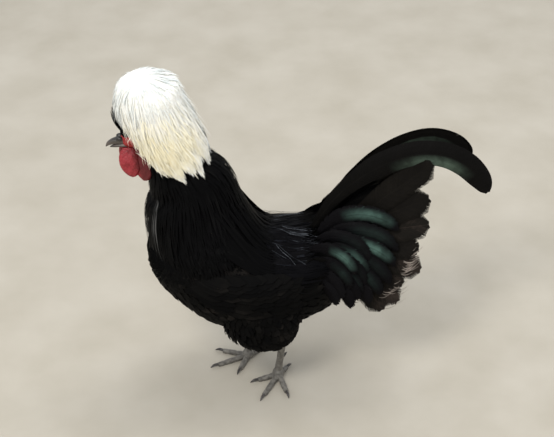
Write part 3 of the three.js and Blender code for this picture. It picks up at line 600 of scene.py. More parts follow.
def vane_tree():
    """Sweeps a flat closed section along every guide line, as wide as the guide says."""
    tree = bpy.data.node_groups.new("vanes_along_guides", "GeometryNodeTree")
    for name, kind in INPUTS.items():
        tree.interface.new_socket(name, in_out="INPUT", socket_type="NodeSocket" + kind)
    tree.interface.new_socket("Vanes", in_out="OUTPUT", socket_type="NodeSocketGeometry")
    sizes = node(tree, "NodeGroupInput").outputs

    def made(kind, given=(), **settings):
        return node(tree, kind, given, **settings).outputs[0]

    def carried(name, kind="FLOAT"):
        return made("GeometryNodeInputNamedAttribute", {"Name": name}, data_type=kind)

    curves = made("GeometryNodeMeshToCurve", {"Mesh": sizes["Guides"]})
    facing = {"Curve": curves, "Normal": carried("face", "FLOAT_VECTOR")}
    faced = made("GeometryNodeSetCurveNormal", facing, mode="FREE")

    # The section stores how far across the vane each of its corners lies, before it is made flat.
    section = made("GeometryNodeCurvePrimitiveCircle", {"Radius": 1.0, "Resolution": sizes["Corners"]})
    corner = node(tree, "ShaderNodeSeparateXYZ", {0: made("GeometryNodeInputPosition")}).outputs
    stored = {"Name": "across", "Geometry": section, "Value": corner["Y"]}
    section = made("GeometryNodeStoreNamedAttribute", stored, data_type="FLOAT", domain="POINT")
    widened = 1.0 / math.sin(FULL / 3)
    squash = made("ShaderNodeCombineXYZ", {"X": sizes["Ridge"], "Y": widened, "Z": 1.0})
    section = made("GeometryNodeTransform", {"Geometry": section, "Scale": squash})
    sweep = {"Curve": faced, "Profile Curve": section, "Scale": carried("half"), "Fill Caps": True}
    swept = made("GeometryNodeCurveToMesh", sweep)

    # The bake map: a small patch for each vane, at its root's place on the skin.
    patch = made("ShaderNodeCombineXYZ", {"X": carried("across"), "Y": carried("along")})
    patch = made("ShaderNodeVectorMath", {0: patch, "Scale": sizes["Bake Patch"]}, operation="SCALE")
    patch = made("ShaderNodeVectorMath", {0: patch, 1: carried("root", "FLOAT_VECTOR")}, operation="ADD")
    stored = {"Name": "OFBake", "Geometry": swept, "Value": patch}
    baked = made("GeometryNodeStoreNamedAttribute", stored, data_type="FLOAT2", domain="CORNER")

    real = made("GeometryNodeRealizeInstances", {"Geometry": baked})
    finished = made("GeometryNodeSetMaterial", {"Geometry": real, "Material": sizes["Finish"]})
    node(tree, "NodeGroupOutput", {"Vanes": finished})
    return tree


VANES = vane_tree()


def guide_mesh(name, groups):
    """A mesh of lines, one for each guide, with what the guides carry as attributes of its points."""
    edges, start = [], 0
    for group in groups:
        count, stations = group["path"].shape[:2]
        index = np.arange(count * stations).reshape(count, stations) + start
        edges.append(np.stack([index[:, :-1], index[:, 1:]], -1).reshape(-1, 2))
        start += count * stations
    edges = np.concatenate(edges)
    gathered = {key: np.concatenate([group[key].reshape(-1) for group in groups]) for key in groups[0]}
    guides = bpy.data.meshes.new(name)
    guides.vertices.add(start)
    guides.vertices.foreach_set("co", (gathered.pop("path") * MM).astype(np.float32))
    guides.edges.add(len(edges))
    guides.edges.foreach_set("vertices", edges.astype(np.int32).ravel())
    gathered["half"] = gathered["half"] * MM
    for label, values in gathered.items():
        kind, key = ("FLOAT", "value") if len(values) == start else ("FLOAT_VECTOR", "vector")
        guides.attributes.new(label, kind, "POINT").data.foreach_set(key, values.astype(np.float32))
    guides.update()
    return guides


def feathers(name, groups, material, replaced=(), ridge=0.14):
    """One coat piece from groups of guides, as vanes() and webs() give them."""
    made = bpy.data.objects.new(name, guide_mesh(name, groups))
    bpy.context.collection.objects.link(made)
    grown = made.modifiers.new("vanes", "NODES")
    grown.node_group = VANES
    inputs = {"Ridge": ridge, "Corners": VANE_CORNERS, "Bake Patch": BAKE_PATCH, "Finish": material}
    for socket in VANES.interface.items_tree:
        if socket.name in inputs:
            grown[socket.identifier] = inputs[socket.name]
    mesh = evaluated_mesh(made)
    mesh.polygons.foreach_set("use_smooth", [False] * len(mesh.polygons))
    for label in ("half", "face", "root"):
        if label in mesh.attributes:
            mesh.attributes.remove(mesh.attributes[label])
    declared(made, replaced)


# Growing feathers

RANDOM = np.random.default_rng(7)


def jitter(shape, size):
    return RANDOM.uniform(-size, size, shape)


def tones(count, low=0.0, high=1.0):
    return RANDOM.uniform(low, high, count)


def rounded_end(t, start, run, power, full=1.0):
    """A width that is full up to start, and closes in a round end over the run."""
    return np.sqrt(np.clip(full - np.clip((t - start) / run, 0, 1) ** power, 0, 1))


def lance(t):
    """A narrow feather with a drawn out point."""
    return np.minimum(1, 0.35 + 2.6 * t) * np.minimum(1, 0.06 + 1.9 * (1 - t)) ** 0.9


def outline(t, half, base, growth, end):
    """Half widths along a feather that widens from the share base of the full one to a round end."""
    return half * np.minimum(1, base + growth * t) * rounded_end(t, *end)


def oval(t):
    """A body feather with a rounded end."""
    return outline(t, 1, 0.4, 2.2, (0.62, 0.38, 2.2, 1.01))


def barred(t):
    """A quill feather: parallel sides and a rounded end."""
    return outline(t, 1, 0.4, 2.0, (0.85, 0.15, 2.4, 1.01))


# Where long feathers begin to close, over what share of their length, and how suddenly
BLUNT, HOOKED, ROUND = (0.87, 0.133, 2.8), (0.72, 0.285, 2.2), (0.62, 0.385, 2.2)
LEAST_HALF = 0.12  # the least half width of a vane, in millimetres


def guides_of(path, face, half, root, tone, along=None, edge=None, shine=0.0):
    """Guides with what each of their points carries. root and tone are one for each guide.

    along runs from root to tip, edge from -1 to 1 across a long feather, and shine is how strongly
    its patch shows.
    """
    count, stations = path.shape[:2]
    spread = lambda values: np.broadcast_to(values[:, None], (count, stations, *values.shape[1:]))
    roots = np.concatenate([root, np.zeros((count, 1))], 1)
    flat = np.zeros((count, stations))
    return {
        "path": path,
        "face": face,
        "half": np.maximum(half, LEAST_HALF),
        "root": spread(roots),
        "tone": spread(tone),
        "along": flat + np.linspace(0, 1, stations) if along is None else along,
        "edge": flat if edge is None else edge,
        "shine": flat + shine,
    }


def vanes(path, face, width, shape, root, tone):
    """Guides for whole vanes, each with a full width."""
    t = np.linspace(0, 1, path.shape[1])
    half = 0.5 * np.broadcast_to(width, path.shape[:1])[:, None] * shape(t)[None, :]
    return guides_of(path, face, half, root, tone)


# The corner and the size of each form's block in the bake map

BAKE_BLOCKS = {
    "trunk": ((0.02, 0.02), (0.45, 0.45)),
    "neck": ((0.02, 0.5), (0.45, 0.2)),
    "crest": ((0.02, 0.74), (0.45, 0.22)),
    "stern": ((0.3, 0.96), (0.15, 0.03)),
    "thigh_left": ((0.5, 0.02), (0.1, 0.2)),
    "thigh_right": ((0.62, 0.02), (0.1, 0.2)),
    "saddle": ((0.5, 0.26), (0.22, 0.4)),
    "wing": ((0.74, 0.02), (0.24, 0.3)),
}
RIGHT_HALF = 0.22  # how far right of the left feathers' patches those of the right side lie


def coat_roots(coat, loft, start=0.0, end=FULL):
    """Staggered places (u, angle) for a coat's feathers on a loft, between two angles."""
    (first, last), (step, width) = coat["over"], coat["apart"]
    us, angles = [], []
    u, row = first, 0
    while u < last:
        speed = float(loft.speed(np.array(u), np.array(0.5 * (start + end))))
        count = max(4, int(round(float(loft.girth(np.array(u))) * (end - start) / FULL / width)))
        around = start + (np.arange(count) + 0.5 * (row % 2)) / count * (end - start)
        us.append(np.full(count, u))
        angles.append(around)
        u += step / max(speed, 1e-3)
        row += 1
    us, angles = np.concatenate(us), np.concatenate(angles)
    speeds = np.maximum(loft.speed(us, angles), 60)
    us = us + jitter(us.shape, 0.3) * step / speeds
    return us, angles + jitter(angles.shape, 0.2) * width / np.maximum(loft.girth(us) / FULL, 4)


def further(loft, u, angle, length):
    """How far along a loft u is after a length in millimetres."""
    return u + length / np.maximum(loft.speed(u, angle), 40)


def laid(loft, start, end, *, lift, rise, scale=(1, 1), stations=6, settle=None):
    """Paths and faces of feathers on a loft, from their roots to their tips: each (u, angle).

    lift and scale are for the roots and the tips, and a high rise brings them up early.
    """
    t = np.linspace(0, 1, stations)[None, :]
    early = 1 - (1 - t) ** rise
    column = lambda value: np.broadcast_to(value, start[0].shape)[:, None]
    us = mix(column(start[0]), column(end[0]), t)
    angles = mix(column(start[1]), column(end[1]), t)
    lifts = mix(column(lift[0]), column(lift[1]), early)
    path = loft.point(np.clip(us, 0, 1), angles, lifts, mix(scale[0], scale[1], early))
    beyond = np.clip(us - 1, 0, None) * column(loft.speed(*start))
    path = path + loft.frame(np.clip(us, 0, 1))[2] * beyond[..., None]
    face = loft.normal(np.clip(us, 0, 1), angles)
    if settle:
        moved, turned = settle(path, face)
        path = np.concatenate([path[:, :1], moved[:, 1:]], 1)
        face = np.concatenate([face[:, :1], turned[:, 1:]], 1)
    return path, face


def bent(start, corner, end):
    """Paths from the starts to the ends that bend by the corners."""
    t = np.linspace(0, 1, 9)[None, :, None]
    return start[:, None] * (1 - t) ** 2 + corner[:, None] * 2 * t * (1 - t) + end[:, None] * t**2


def unwrapped(u, angle, form):
    """The places on the skin's own unwrap, where each form has its block."""
    (left, low), (wide, high) = BAKE_BLOCKS[form]
    return np.stack([left + wide * (angle % FULL) / FULL, low + high * u], -1)


def between(values, share):
    """Values of each row of a table at a share of its length, with shares as (rows, any number)."""
    last = values.shape[1] - 1
    place = np.clip(share, 0, 1) * last
    i = np.minimum(place.astype(int), last - 1)
    rows = np.arange(len(values))[:, None]
    t = place - i
    t = t[..., None] if values.ndim == 3 else t
    return values[rows, i] * (1 - t) + values[rows, i + 1] * t


def frayed(path, face, width, root, tone, strands, spread, shorten):
    """Guides for the strands of feathers that part towards the tip, the outer ones shorter."""
    t = np.linspace(0, 1, path.shape[1])[None, :]
    side = unit(np.cross(unit(np.gradient(path, axis=1)), face))
    width = np.broadcast_to(width, len(path))
    groups = []
    for lane in np.linspace(-1, 1, strands):
        share = lane + jitter(len(path), 0.3)
        cut = 1 - shorten * np.abs(share) - RANDOM.uniform(0, shorten, len(path))
        where = t * cut[:, None]
        off = (share * width / 2)[:, None] * (0.3 + spread * t)
        drawn = between(path, where) + between(side, where) * off[..., None]
        half = (width * 1.1 / strands)[:, None] * lance(t)
        groups.append(guides_of(drawn, between(face, where), half, root, tone + jitter(len(path), 0.1)))
    return groups


LEAN = (60, 34)  # degrees between the barbs and the shaft, at a long feather's root and at its tip
CLUMP = 10  # barbs that gather together
BARB_OVERLAP = 1.8  # how much wider barbs are than the spacing between them
BARB_POINTS = np.array([0, 0.3, 0.65, 1.0])  # shares of the way from the shaft to the edge
# The strips behind the barbs: their places from edge to edge, how far they lie below, their half width
BACKING = {"lanes": (-0.6, -0.2, 0.2, 0.6), "low": 0.5, "half": 0.24}


def barb_ends(half, length):
    """Where on a long feather's outline its barbs end.

    It gives the shares of the length where they leave the shaft and where they end, their leans
    and the half widths there.
    """
    ends = np.linspace(0.02, 1, 300)
    leans = np.radians(mix(*LEAN, ends**2))
    reach = between(half, ends[None])[0]
    return np.maximum.accumulate(ends - reach / np.tan(leans) / length), ends, leans, reach


def clumps(count):
    """Where each barb lies in its clump, from -0.5 to 0.5, and how far that clump is parted, up to 1."""
    phase = (np.arange(count) + RANDOM.integers(CLUMP)) / CLUMP + 0.25 * np.sin(np.arange(count) * 0.37)
    parted = RANDOM.uniform(0, 1, 4 + count // CLUMP)[np.floor(phase).astype(int) + 1] ** 2
    return phase % 1 - 0.5, parted


def webs(
    path, face, half, root, tone, *, ragged, gather,
    shine=0.0, spacing=1.5, droop=0.0, shaft=0.9, tip=0.35, worn=0.0,
):
    """Guides for one long feather: its shaft, a backing web, and barbs that run out to its edges.

    path and face are (stations, 3), and half is its half width at each station. The barbs are a
    spacing apart and narrow to the share tip of their width. gather draws them together in clumps,
    ragged cuts their ends, droop lets them hang, and worn makes the outer ones paler.
    """
    path, face, half = path[None], face[None], half[None]
    along = unit(np.gradient(path, axis=1))
    side = unit(np.cross(along, face))
    length = np.linalg.norm(np.diff(path, axis=1), axis=2).sum()
    widest = half.max()
    starts, ends, leans, reach = barb_ends(half, length)
    hang = lambda off: droop * off**2 / widest
    turned = lambda up, across, off: unit(up + across * (2 * droop * off / widest)[..., None])
    groups = []
    for sign in (-1, 1):
        t = np.arange(max(0.01, starts[0]), 0.995, spacing / length)
        count = len(t)
        end = np.interp(t, starts, ends)
        lateral, angle = np.interp(end, ends, reach), np.interp(end, ends, leans)
        within, parted = clumps(count)
        lateral = lateral * (1 - ragged * (RANDOM.uniform(0, 1, count) + 2 * parted * np.abs(2 * within)))
        out = lateral[:, None] * BARB_POINTS
        forward = (end - t)[:, None] * length * (0.9 * BARB_POINTS + 0.1 * BARB_POINTS**2)
        forward = forward - (within * CLUMP * spacing * gather * (0.3 + parted))[:, None] * BARB_POINTS**2
        place = t[:, None] + forward / length
        row = lambda values: between(values, place.reshape(1, -1))[0].reshape(*place.shape, 3)
        on, beside, upper = row(path), row(side), row(face)
        on = on + along[0, -1] * (np.clip(place - 1, 0, None) * length)[..., None]
        fall = hang(out) + jitter((count, 1), 0.1)
        points = on + beside * (sign * out)[..., None] - upper * fall[..., None]
        bend = turned(upper, beside, sign * out)
        barb = unit(np.gradient(points, axis=1))
        tipped = unit(bend + 0.1 * np.cross(barb, bend) * sign)
        thin = (0.5 * spacing * np.sin(angle) * BARB_OVERLAP)[:, None] * np.array([1, 1, 0.9, tip])
        spots = np.stack([np.full(count, root[0]) + 0.002 * sign, root[1] + 0.05 * t], -1)
        shade = tone + jitter(count, 0.05) + 0.1 * (parted - 0.4) + worn * ramped(t, 0.45, 0.9)
        shares = np.clip(place, 0, 1)
        groups.append(guides_of(points, tipped, thin, spots, shade, shares, sign * out / widest, shine))
    spot, shade = np.array([root]), np.array([tone])
    stations = np.linspace(0, 0.985, 18)[None]
    spine, up, beside = (between(values, stations) for values in (path, face, side))
    back = between(half, stations) * np.minimum(1, 8 * (1 - stations))
    for lane in BACKING["lanes"]:
        off = back * lane
        points = spine + beside * off[..., None] - up * (hang(off) + BACKING["low"])[..., None]
        tilted, strip, edge = turned(up, beside, off), BACKING["half"] * back, off / widest
        groups.append(guides_of(points, tilted, strip, spot, shade - 0.1, stations, edge, shine))
    quill = mix(shaft, 0.15, stations)
    groups.append(guides_of(spine + up * 0.25, up, quill, spot, shade + 0.2, stations, shine=0.7 * shine))
    return groups


# The skin, bare on the face and under the plumage everywhere else

COAT = 7.0  # depth of the body's feathers, from the skin to the solids' surface
NECK_CORE, CREST_CORE = 0.65, 0.6  # shares of the neck's and the crest's sections that are skin
CREST_KNOB = {"centre": (-203, 0, 422), "half": (17, 15, 15)}
TAIL_KNOB = {"centre": (36, 11, 229), "half": (34, 13, 20)}  # what the tail feathers grow from, on each side
BARE_FACE = {"x": (183, 190), "z": (377, 384)}  # where the bare skin begins, forwards and upwards
PALE_UNDER = {"face": (415, 421), "crest": (426, 432)}  # heights from which the skin is pale


def egg(centre, half, around=24):
    """Vertices and faces of an ellipsoid."""
    rows = around // 2
    verts = [(0, 0, 1)]
    for i in range(1, rows):
        tilt = math.pi * i / rows
        for k in range(around):
            turn = FULL * k / around
            verts.append((math.sin(tilt) * math.cos(turn), math.sin(tilt) * math.sin(turn), math.cos(tilt)))
    verts.append((0, 0, -1))
    faces = [(0, 1 + k, 1 + (k + 1) % around) for k in range(around)]
    for i in range(rows - 2):
        for k in range(around):
            a, b = 1 + i * around + k, 1 + i * around + (k + 1) % around
            faces.append((a, a + around, b + around, b))
    last = len(verts) - 1
    base = last - around
    faces += [(last, base + (k + 1) % around, base + k) for k in range(around)]
    return [tuple(np.asarray(centre) + np.asarray(v) * np.asarray(half)) for v in verts], faces


def on_side(places, side):
    """Places given for one side of the bird, on the side asked for."""
    return np.asarray(places, float) * (1, side, 1)


def together(shells):
    """Several shells of (verts, faces) as one list."""
    verts, faces = [], []
    for points, polygons in shells:
        faces += [tuple(i + len(verts) for i in face) for face in polygons]
        verts += list(points)
    return verts, faces


def merged(name, shells, material, slot, replaced, *, voxel, rounds):
    """One closed piece round overlapping shells, smoothed in as many rounds."""
    made = piece(name, *together(shells), material, slot, replaced)
    remesh = made.modifiers.new("merge", "REMESH")
    remesh.mode, remesh.voxel_size = "VOXEL", voxel * MM
    eased = made.modifiers.new("ease", "SMOOTH")
    eased.factor, eased.iterations = 0.5, rounds
    mesh = evaluated_mesh(made)
    mesh.polygons.foreach_set("use_smooth", [True] * len(mesh.polygons))
    return made


def places(mesh):
    """The x, y and z of a mesh's points, in millimetres."""
    points = np.empty(len(mesh.vertices) * 3, np.float32)
    mesh.vertices.foreach_get("co", points)
    return (points.reshape(-1, 3) / MM).T


def marked(mesh, label, values):
    """Gives every point of a mesh a value that its material reads."""
    mesh.attributes.new(label, "FLOAT", "POINT").data.foreach_set("value", values.astype(np.float32))


def make_skin():
    shells = [
        BODY.tube(48, 48, lift=-COAT),
        CAPE.tube(36, 36, scale=NECK_CORE),
        SKULL.tube(30, 28),
        egg(**CREST_KNOB),
        CREST.tube(30, 30, scale=CREST_CORE, span=(0.02, 0.5)),
        *(THIGHS[side].tube(24, 24, lift=-4) for _, side in SIDES),
        *(egg(on_side(TAIL_KNOB["centre"], side), TAIL_KNOB["half"]) for _, side in SIDES),
    ]
    flesh = ["torso", "rump", "neck", "head", "thigh_left", "thigh_right"]
    made = merged("skin", shells, SKIN, "black_plumage", flesh, voxel=1.7, rounds=3)
    x, _, z = places(made.data)
    bare = ramped(-x, *BARE_FACE["x"]) * ramped(z, *BARE_FACE["z"])
    pale = ramped(z, *PALE_UNDER["face"]) * bare + ramped(z, *PALE_UNDER["crest"])
    marked(made.data, "bare", bare)
    marked(made.data, "pale", np.clip(pale, 0, 1))


# Trunk, thighs and saddle

# A coat's over is the stretch of u on its form that bears feathers, and apart is how far apart their
# roots lie along it and round it. Pairs of lengths, lifts and degrees run from one end of the coat, or
# from the middle of the back, to the other end or the coat's edge.
TRUNK_COAT = {"over": (0.03, 0.97), "apart": (7.0, 8.5), "length": (20, 32), "width": 12.5}
STERN_COAT = {"over": (0.1, 0.97), "apart": (6.0, 6.5), "length": 20, "width": 7.0}
THIGH_COAT = {"over": (0.08, 0.93), "apart": (6.0, 7.0), "length": (24, 12), "width": 8.0, "lowest": 64}
THIGH_BEHIND = {"off": 8.0, "at": 0.42, "spread": (0.12, 0.5)}  # how far the fluff stands off, and where
THIGH_BEFORE = {"off": 13.0, "at": 0.36, "spread": (0.2, 0.9)}
SADDLE = {
    "over": (0.34, 0.8), "apart": (6.5, 4.6), "degrees": 56, "sweep": (3, 40), "end": 0.865,
    "length": (70, 84), "width": 4.8, "lift": (3.5, 8),
}
# Fine hairs over the saddle, in wavy strands of a few hairs each, coloured silvery as painted highlights
HIGHLIGHT_HAIRS = {
    "strands": 54, "each": 3, "over": (0.48, 0.72), "end": 0.86, "length": (26, 70), "lift": (5.6, 9.0),
    "width": 0.26, "depth": (0.8, 3.0), "bends": (4, 7), "tone": (0.1, 1.1),
}
STERN = Loft([
    (18, 0, 230, 20, 18, 26),
    (40, 0, 229, 24, 18, 26),
    (60, 0, 227, 20, 15, 22),
    (74, 0, 224, 12, 9, 14),
    (82, 0, 221, 0, 0, 0),
])


def grow_body():
    u, angle = coat_roots(TRUNK_COAT, BODY)
    length = mix(*TRUNK_COAT["length"], np.clip(u / 0.5, 0, 1)) * (1 + jitter(u.shape, 0.2))
    end = further(BODY, u, angle, length)
    tip = 0.9 + jitter(u.shape, 1.0)
    path, face = laid(BODY, (u, angle), (end, angle + jitter(u.shape, 0.04)), lift=(1 - COAT, tip), rise=1.6)
    root = unwrapped(u, angle, "trunk")
    group = vanes(path, face, TRUNK_COAT["width"], oval, root, tones(len(u), 0.0, 0.7))
    feathers("body_feathers", [group], BLACK)


def grow_stern():
    """Fluff over the root of the tail, seen from behind between the two halves of the fan."""
    u, angle = coat_roots(STERN_COAT, STERN)
    end = further(STERN, u, angle, STERN_COAT["length"] * (1 + jitter(u.shape, 0.25)))
    towards = end, angle + jitter(u.shape, 0.2)
    path, face = laid(STERN, (u, angle), towards, lift=(-3, 2.5 + jitter(u.shape, 2.0)), rise=1.4)
    root = unwrapped(u, angle, "stern")
    group = vanes(path, face, STERN_COAT["width"], oval, root, tones(len(u), 0.0, 0.6))
    feathers("stern_feathers", [group], BLACK)


def bulge(fluff, u, away):
    """How far the fluff stands off, where away is the angle from the middle of its own side."""
    along, around = fluff["spread"]
    return fluff["off"] * np.exp(-(((u - fluff["at"]) / along) ** 2) - away**2 / around)


def grow_thigh(word, side):
    loft = THIGHS[side]
    u, angle = coat_roots(THIGH_COAT, loft)
    length = mix(*THIGH_COAT["length"], u) * (1 + jitter(u.shape, 0.1))
    end = further(loft, u, angle, length)
    behind = bulge(THIGH_BEHIND, u, (angle + math.pi) % FULL - math.pi)
    before = bulge(THIGH_BEFORE, u, angle % FULL - math.pi)
    lift = 1.2 + behind + before + jitter(u.shape, 1.8)
    sideways = angle + jitter(u.shape, 0.12)
    path, face = laid(loft, (u, angle), (end, sideways), lift=(-5 + 0.7 * before, lift), rise=1.6)
    path[..., 2] = np.maximum(path[..., 2], THIGH_COAT["lowest"])
    root = unwrapped(u, angle, f"thigh_{word}")
    group = vanes(path, face, THIGH_COAT["width"], oval, root, tones(len(u), 0.0, 0.7))
    feathers(f"thigh_feathers_{word}", [group], BLACK)


def saddle_highlight_hairs(reach):
    """Guides for the hairs. Those of one strand start together and wave alike, and then part."""
    strands, each = HIGHLIGHT_HAIRS["strands"], HIGHLIGHT_HAIRS["each"]
    count, strand = strands * each, np.repeat(np.arange(strands), each)
    pick = lambda low, high: RANDOM.uniform(low, high, strands)[strand]
    u, side = pick(*HIGHLIGHT_HAIRS["over"]) + jitter(count, 0.03), np.where(strand % 3 > 0, LEFT, RIGHT)
    angle = side * reach * (pick(0.0, 0.6) + jitter(count, 0.06) + 0.2 * (side > 0))
    end = further(BODY, u, angle, pick(*HIGHLIGHT_HAIRS["length"]) * (1 + jitter(count, 0.3)))
    sweep = side * (pick(0.1, 0.3) + 0.6 * np.abs(angle) / reach) + jitter(count, 0.06)
    towards = np.minimum(end, HIGHLIGHT_HAIRS["end"]), angle + sweep
    lift = mix(*HIGHLIGHT_HAIRS["lift"], np.abs(angle) / reach)
    lift = (lift + jitter(count, 0.8), lift + jitter(count, 1.2))
    path, face = laid(BODY, (u, angle), towards, lift=lift, rise=1.2, stations=16)
    t = np.linspace(0, 1, path.shape[1])[None, :]
    depth, bends, phase = (pick(*span)[:, None] for span in (HIGHLIGHT_HAIRS["depth"], HIGHLIGHT_HAIRS["bends"], (0, FULL)))
    wave = depth * np.sin(bends * t + phase) * t
    path = path + np.cross(face, unit(np.gradient(path, axis=1))) * wave[..., None]
    # the pale tones paint highlights on the hairs
    tone = pick(*HIGHLIGHT_HAIRS["tone"]) + jitter(count, 0.25)
    return vanes(path, face, HIGHLIGHT_HAIRS["width"], lance, unwrapped(u, angle, "saddle"), tone)


def grow_saddle():
    reach = math.radians(SADDLE["degrees"])
    u, angle = coat_roots(SADDLE, BODY, -reach, reach)
    share = np.abs(angle) / reach
    short = mix(1, 0.5, np.clip((u - 0.55) / 0.25, 0, 1))
    length = mix(*SADDLE["length"], share) * short * (1 + jitter(u.shape, 0.14))
    sweep = np.sign(angle) * np.radians(mix(*SADDLE["sweep"], share)) * length / SADDLE["length"][1]
    end = np.minimum(further(BODY, u, angle, length), SADDLE["end"] - 0.03 * share)
    grown = np.clip((end - 0.5) / 0.3, 0.1, 1)
    lift = mix(*SADDLE["lift"], share) * grown + jitter(u.shape, 0.7)
    path, face = laid(BODY, (u, angle), (end, angle + sweep), lift=(-4, lift), rise=2.0, stations=8)
    root = unwrapped(u, angle, "saddle")
    # a few feathers near the front take a paler tone, as painted highlight streaks
    tone = np.where(RANDOM.uniform(0, 1, len(u)) < 0.05 * (u < 0.6), 0.8, tones(len(u), 0, 0.5))
    groups = [vanes(path, face, SADDLE["width"], lance, root, tone), saddle_highlight_hairs(reach)]
    feathers("saddle_feathers", groups, HIGHLIGHTED_BLACK)


# Wings

# Each row runs down the wing, and is given by its two ends: the top and the bottom feather of the
# row. First come u at the two roots and at the two tips, and then the degrees from the back at the
# roots and at the tips. The last value is how far the tips stand off.
WING_ROWS = np.array([
    [0.30, 0.30, 0.42, 0.40, 78, 101, 74, 104, 7.0],
    [0.39, 0.38, 0.52, 0.50, 70, 103, 67, 107, 8.0],
    [0.47, 0.45, 0.61, 0.58, 64, 104, 63, 110, 8.0],
    [0.55, 0.53, 0.70, 0.67, 68, 101, 76, 111, 5.5],
])
WING_TIPS = np.array([0.60, 0.61, 0.77, 0.75, 87, 99, 91, 107, 2.8])
WING_ROOTS = -0.4  # how deep the roots lie
WING_TILT = 0.22  # how far a feather's lower edge is turned out over the next one
WING_WIDTHS = (13, 15)  # of the feathers in the first and in the last row of the coverts


def wing_row(side, row, count, width, shape, stations=6):
    share = (np.arange(count) + 0.15 * jitter(count, 1)) / (count - 1)
    start, tip, first, last = (mix(row[i], row[i + 1], share) for i in (0, 2, 4, 6))
    start = start + jitter(count, 0.012)
    angles = side * np.radians(first), side * np.radians(last)
    lift = (WING_ROOTS, 1.2 + row[8] + jitter(count, 0.3))
    end = tip + jitter(count, 0.014), angles[1] + jitter(count, 0.02)
    path, face = laid(BODY, (start, angles[0]), end, lift=lift, rise=1.3, stations=stations)
    root = unwrapped(start, angles[0], "wing")
    tilt = np.cross(unit(np.gradient(path, axis=1)), face) * (WING_TILT * side)
    return vanes(path, unit(face + tilt), width, shape, root, tones(count, 0.1, 0.7))


def grow_wing(word, side):
    groups = []
    for place in np.linspace(0, 2.5, 6):
        i = min(int(place), len(WING_ROWS) - 2)
        row = mix(WING_ROWS[i], WING_ROWS[i + 1], place - i)
        groups.append(wing_row(side, row, 9 if place < 2 else 10, mix(*WING_WIDTHS, place / 2.5), oval))
    groups.append(wing_row(side, WING_ROWS[3], 9, 13.0, barred, 8))
    groups.append(wing_row(side, WING_TIPS, 5, 9.0, barred, 8))
    feathers(f"wing_feathers_{word}", groups, BLACK, [f"wing_{word}"])


# Neck

HACKLES = {
    "over": (0.0, 0.88), "apart": (6.0, 5.4), "length": (40, 88), "shortest": 14, "width": 6.2,
    "reach": (0.97, 1.03),
}
HACKLES_OFF = 1.2  # how far over the trunk they lie
HEM = {
    "count": 300, "around": 1.3, "from": (0.55, 0.92), "lands": (0.545, 0.62), "corner": 0.53, "width": 4.6,
}
# narrow hackles whose grey is a painted highlight, in a streak on each side of the throat
HIGHLIGHT_STREAK = {"count": 24, "angle": 2.5, "from": (0.36, 0.56), "length": (18, 40), "width": 1.0}


def hem_hackles():
    """Guides for the lowest hackles of the back, which bend from the neck on to the saddle."""
    count = HEM["count"]
    u, angle = RANDOM.uniform(*HEM["from"], count), jitter(count, HEM["around"])
    landing = RANDOM.uniform(*HEM["lands"], count), 0.85 * angle + jitter(count, 0.06)
    corner = BODY.point(np.full(count, HEM["corner"]), landing[1], 5.0)
    path = bent(CAPE.point(u, angle, -1.5), corner, BODY.point(*landing, 3.0 + jitter(count, 1.2)))
    t = np.linspace(0, 1, path.shape[1])[None, :, None]
    face = unit(mix(CAPE.normal(u, angle)[:, None], BODY.normal(*landing)[:, None], t))
    root = unwrapped(u, angle, "neck")
    return vanes(path, face, HEM["width"], lance, root, tones(count) ** 5 * 0.7)


def highlight_streak_hackles():
    """Guides for the narrow hackles that hang in a streak on each side of the throat, painted grey as a
    highlight.
    """
    count = HIGHLIGHT_STREAK["count"]
    u = RANDOM.uniform(*HIGHLIGHT_STREAK["from"], count)
    angle = np.where(np.arange(count) % 3, LEFT, RIGHT) * HIGHLIGHT_STREAK["angle"] + jitter(count, 0.07)
    end = further(CAPE, u, angle, RANDOM.uniform(*HIGHLIGHT_STREAK["length"], count)), angle + jitter(count, 0.03)
    path, face = laid(CAPE, (u, angle), end, lift=(-1, 1.6 + jitter(count, 0.4)), rise=3.0, stations=9)
    return vanes(path, face, HIGHLIGHT_STREAK["width"], lance, unwrapped(u, angle, "neck"), tones(count, 0.6, 1.1))


def grow_hackles():
    u, angle = coat_roots(HACKLES, CAPE)
    ragged = 1 + 0.12 * RANDOM.uniform(-1, 0.8, u.shape)
    reach = mix(*HACKLES["reach"], (1 + np.cos(angle)) / 2) * ragged
    length = mix(*HACKLES["length"], np.clip(u / 0.6, 0, 1))
    length = np.minimum(length, (reach - u) * CAPE.speed(u, angle))
    kept = length > HACKLES["shortest"]
    u, angle, length = u[kept], angle[kept], length[kept] * (1 + jitter(kept.sum(), 0.16))
    end = further(CAPE, u, angle, length), angle + jitter(u.shape, 0.05)
    settle = lambda path, face: BODY.outside(path, face, HACKLES_OFF)
    path, face = laid(
        CAPE, (u, angle), end, lift=(-3, jitter(u.shape, 0.8)), scale=(0.78, 1.0), rise=2.2, stations=8,
        settle=settle,
    )
    group = vanes(path, face, HACKLES["width"], lance, unwrapped(u, angle, "neck"), tones(len(u)) ** 5 * 0.7)
    feathers("neck_hackles", [group, hem_hackles(), highlight_streak_hackles()], HACKLE)


# Crest

CREST_COAT = {
    "over": (0.0, 0.84), "apart": (4.4, 5.0), "length": (32, 58), "width": 8.0, "strands": 6, "shortest": 16,
}
FRONT_REACH = 0.56  # the share of the crest's length that its feathers in front reach down to
PARTING = {"shorter": 0.24, "spread": 0.95}  # over the black band
LAPPET = {"longer": 0.11, "angle": 1.36, "spread": 0.33}  # on each side of the throat
FULLER = {"off": 7.5, "at": 0.12, "spread": 0.13}  # how far they stand off high on the back, and where
CREAM = {"at": 0.52, "spread": 0.3, "depth": 0.8}  # how creamy the sides are, and where
CREST_HAIRS = {"count": 420, "over": (0.02, 0.7), "length": (26, 46), "lift": (1.5, 7.0), "width": 1.3}
LAYERS = 6  # of the crest's feathers, from its top down
LOCKS = 15  # tufts that each layer's tips gather in, round the crest


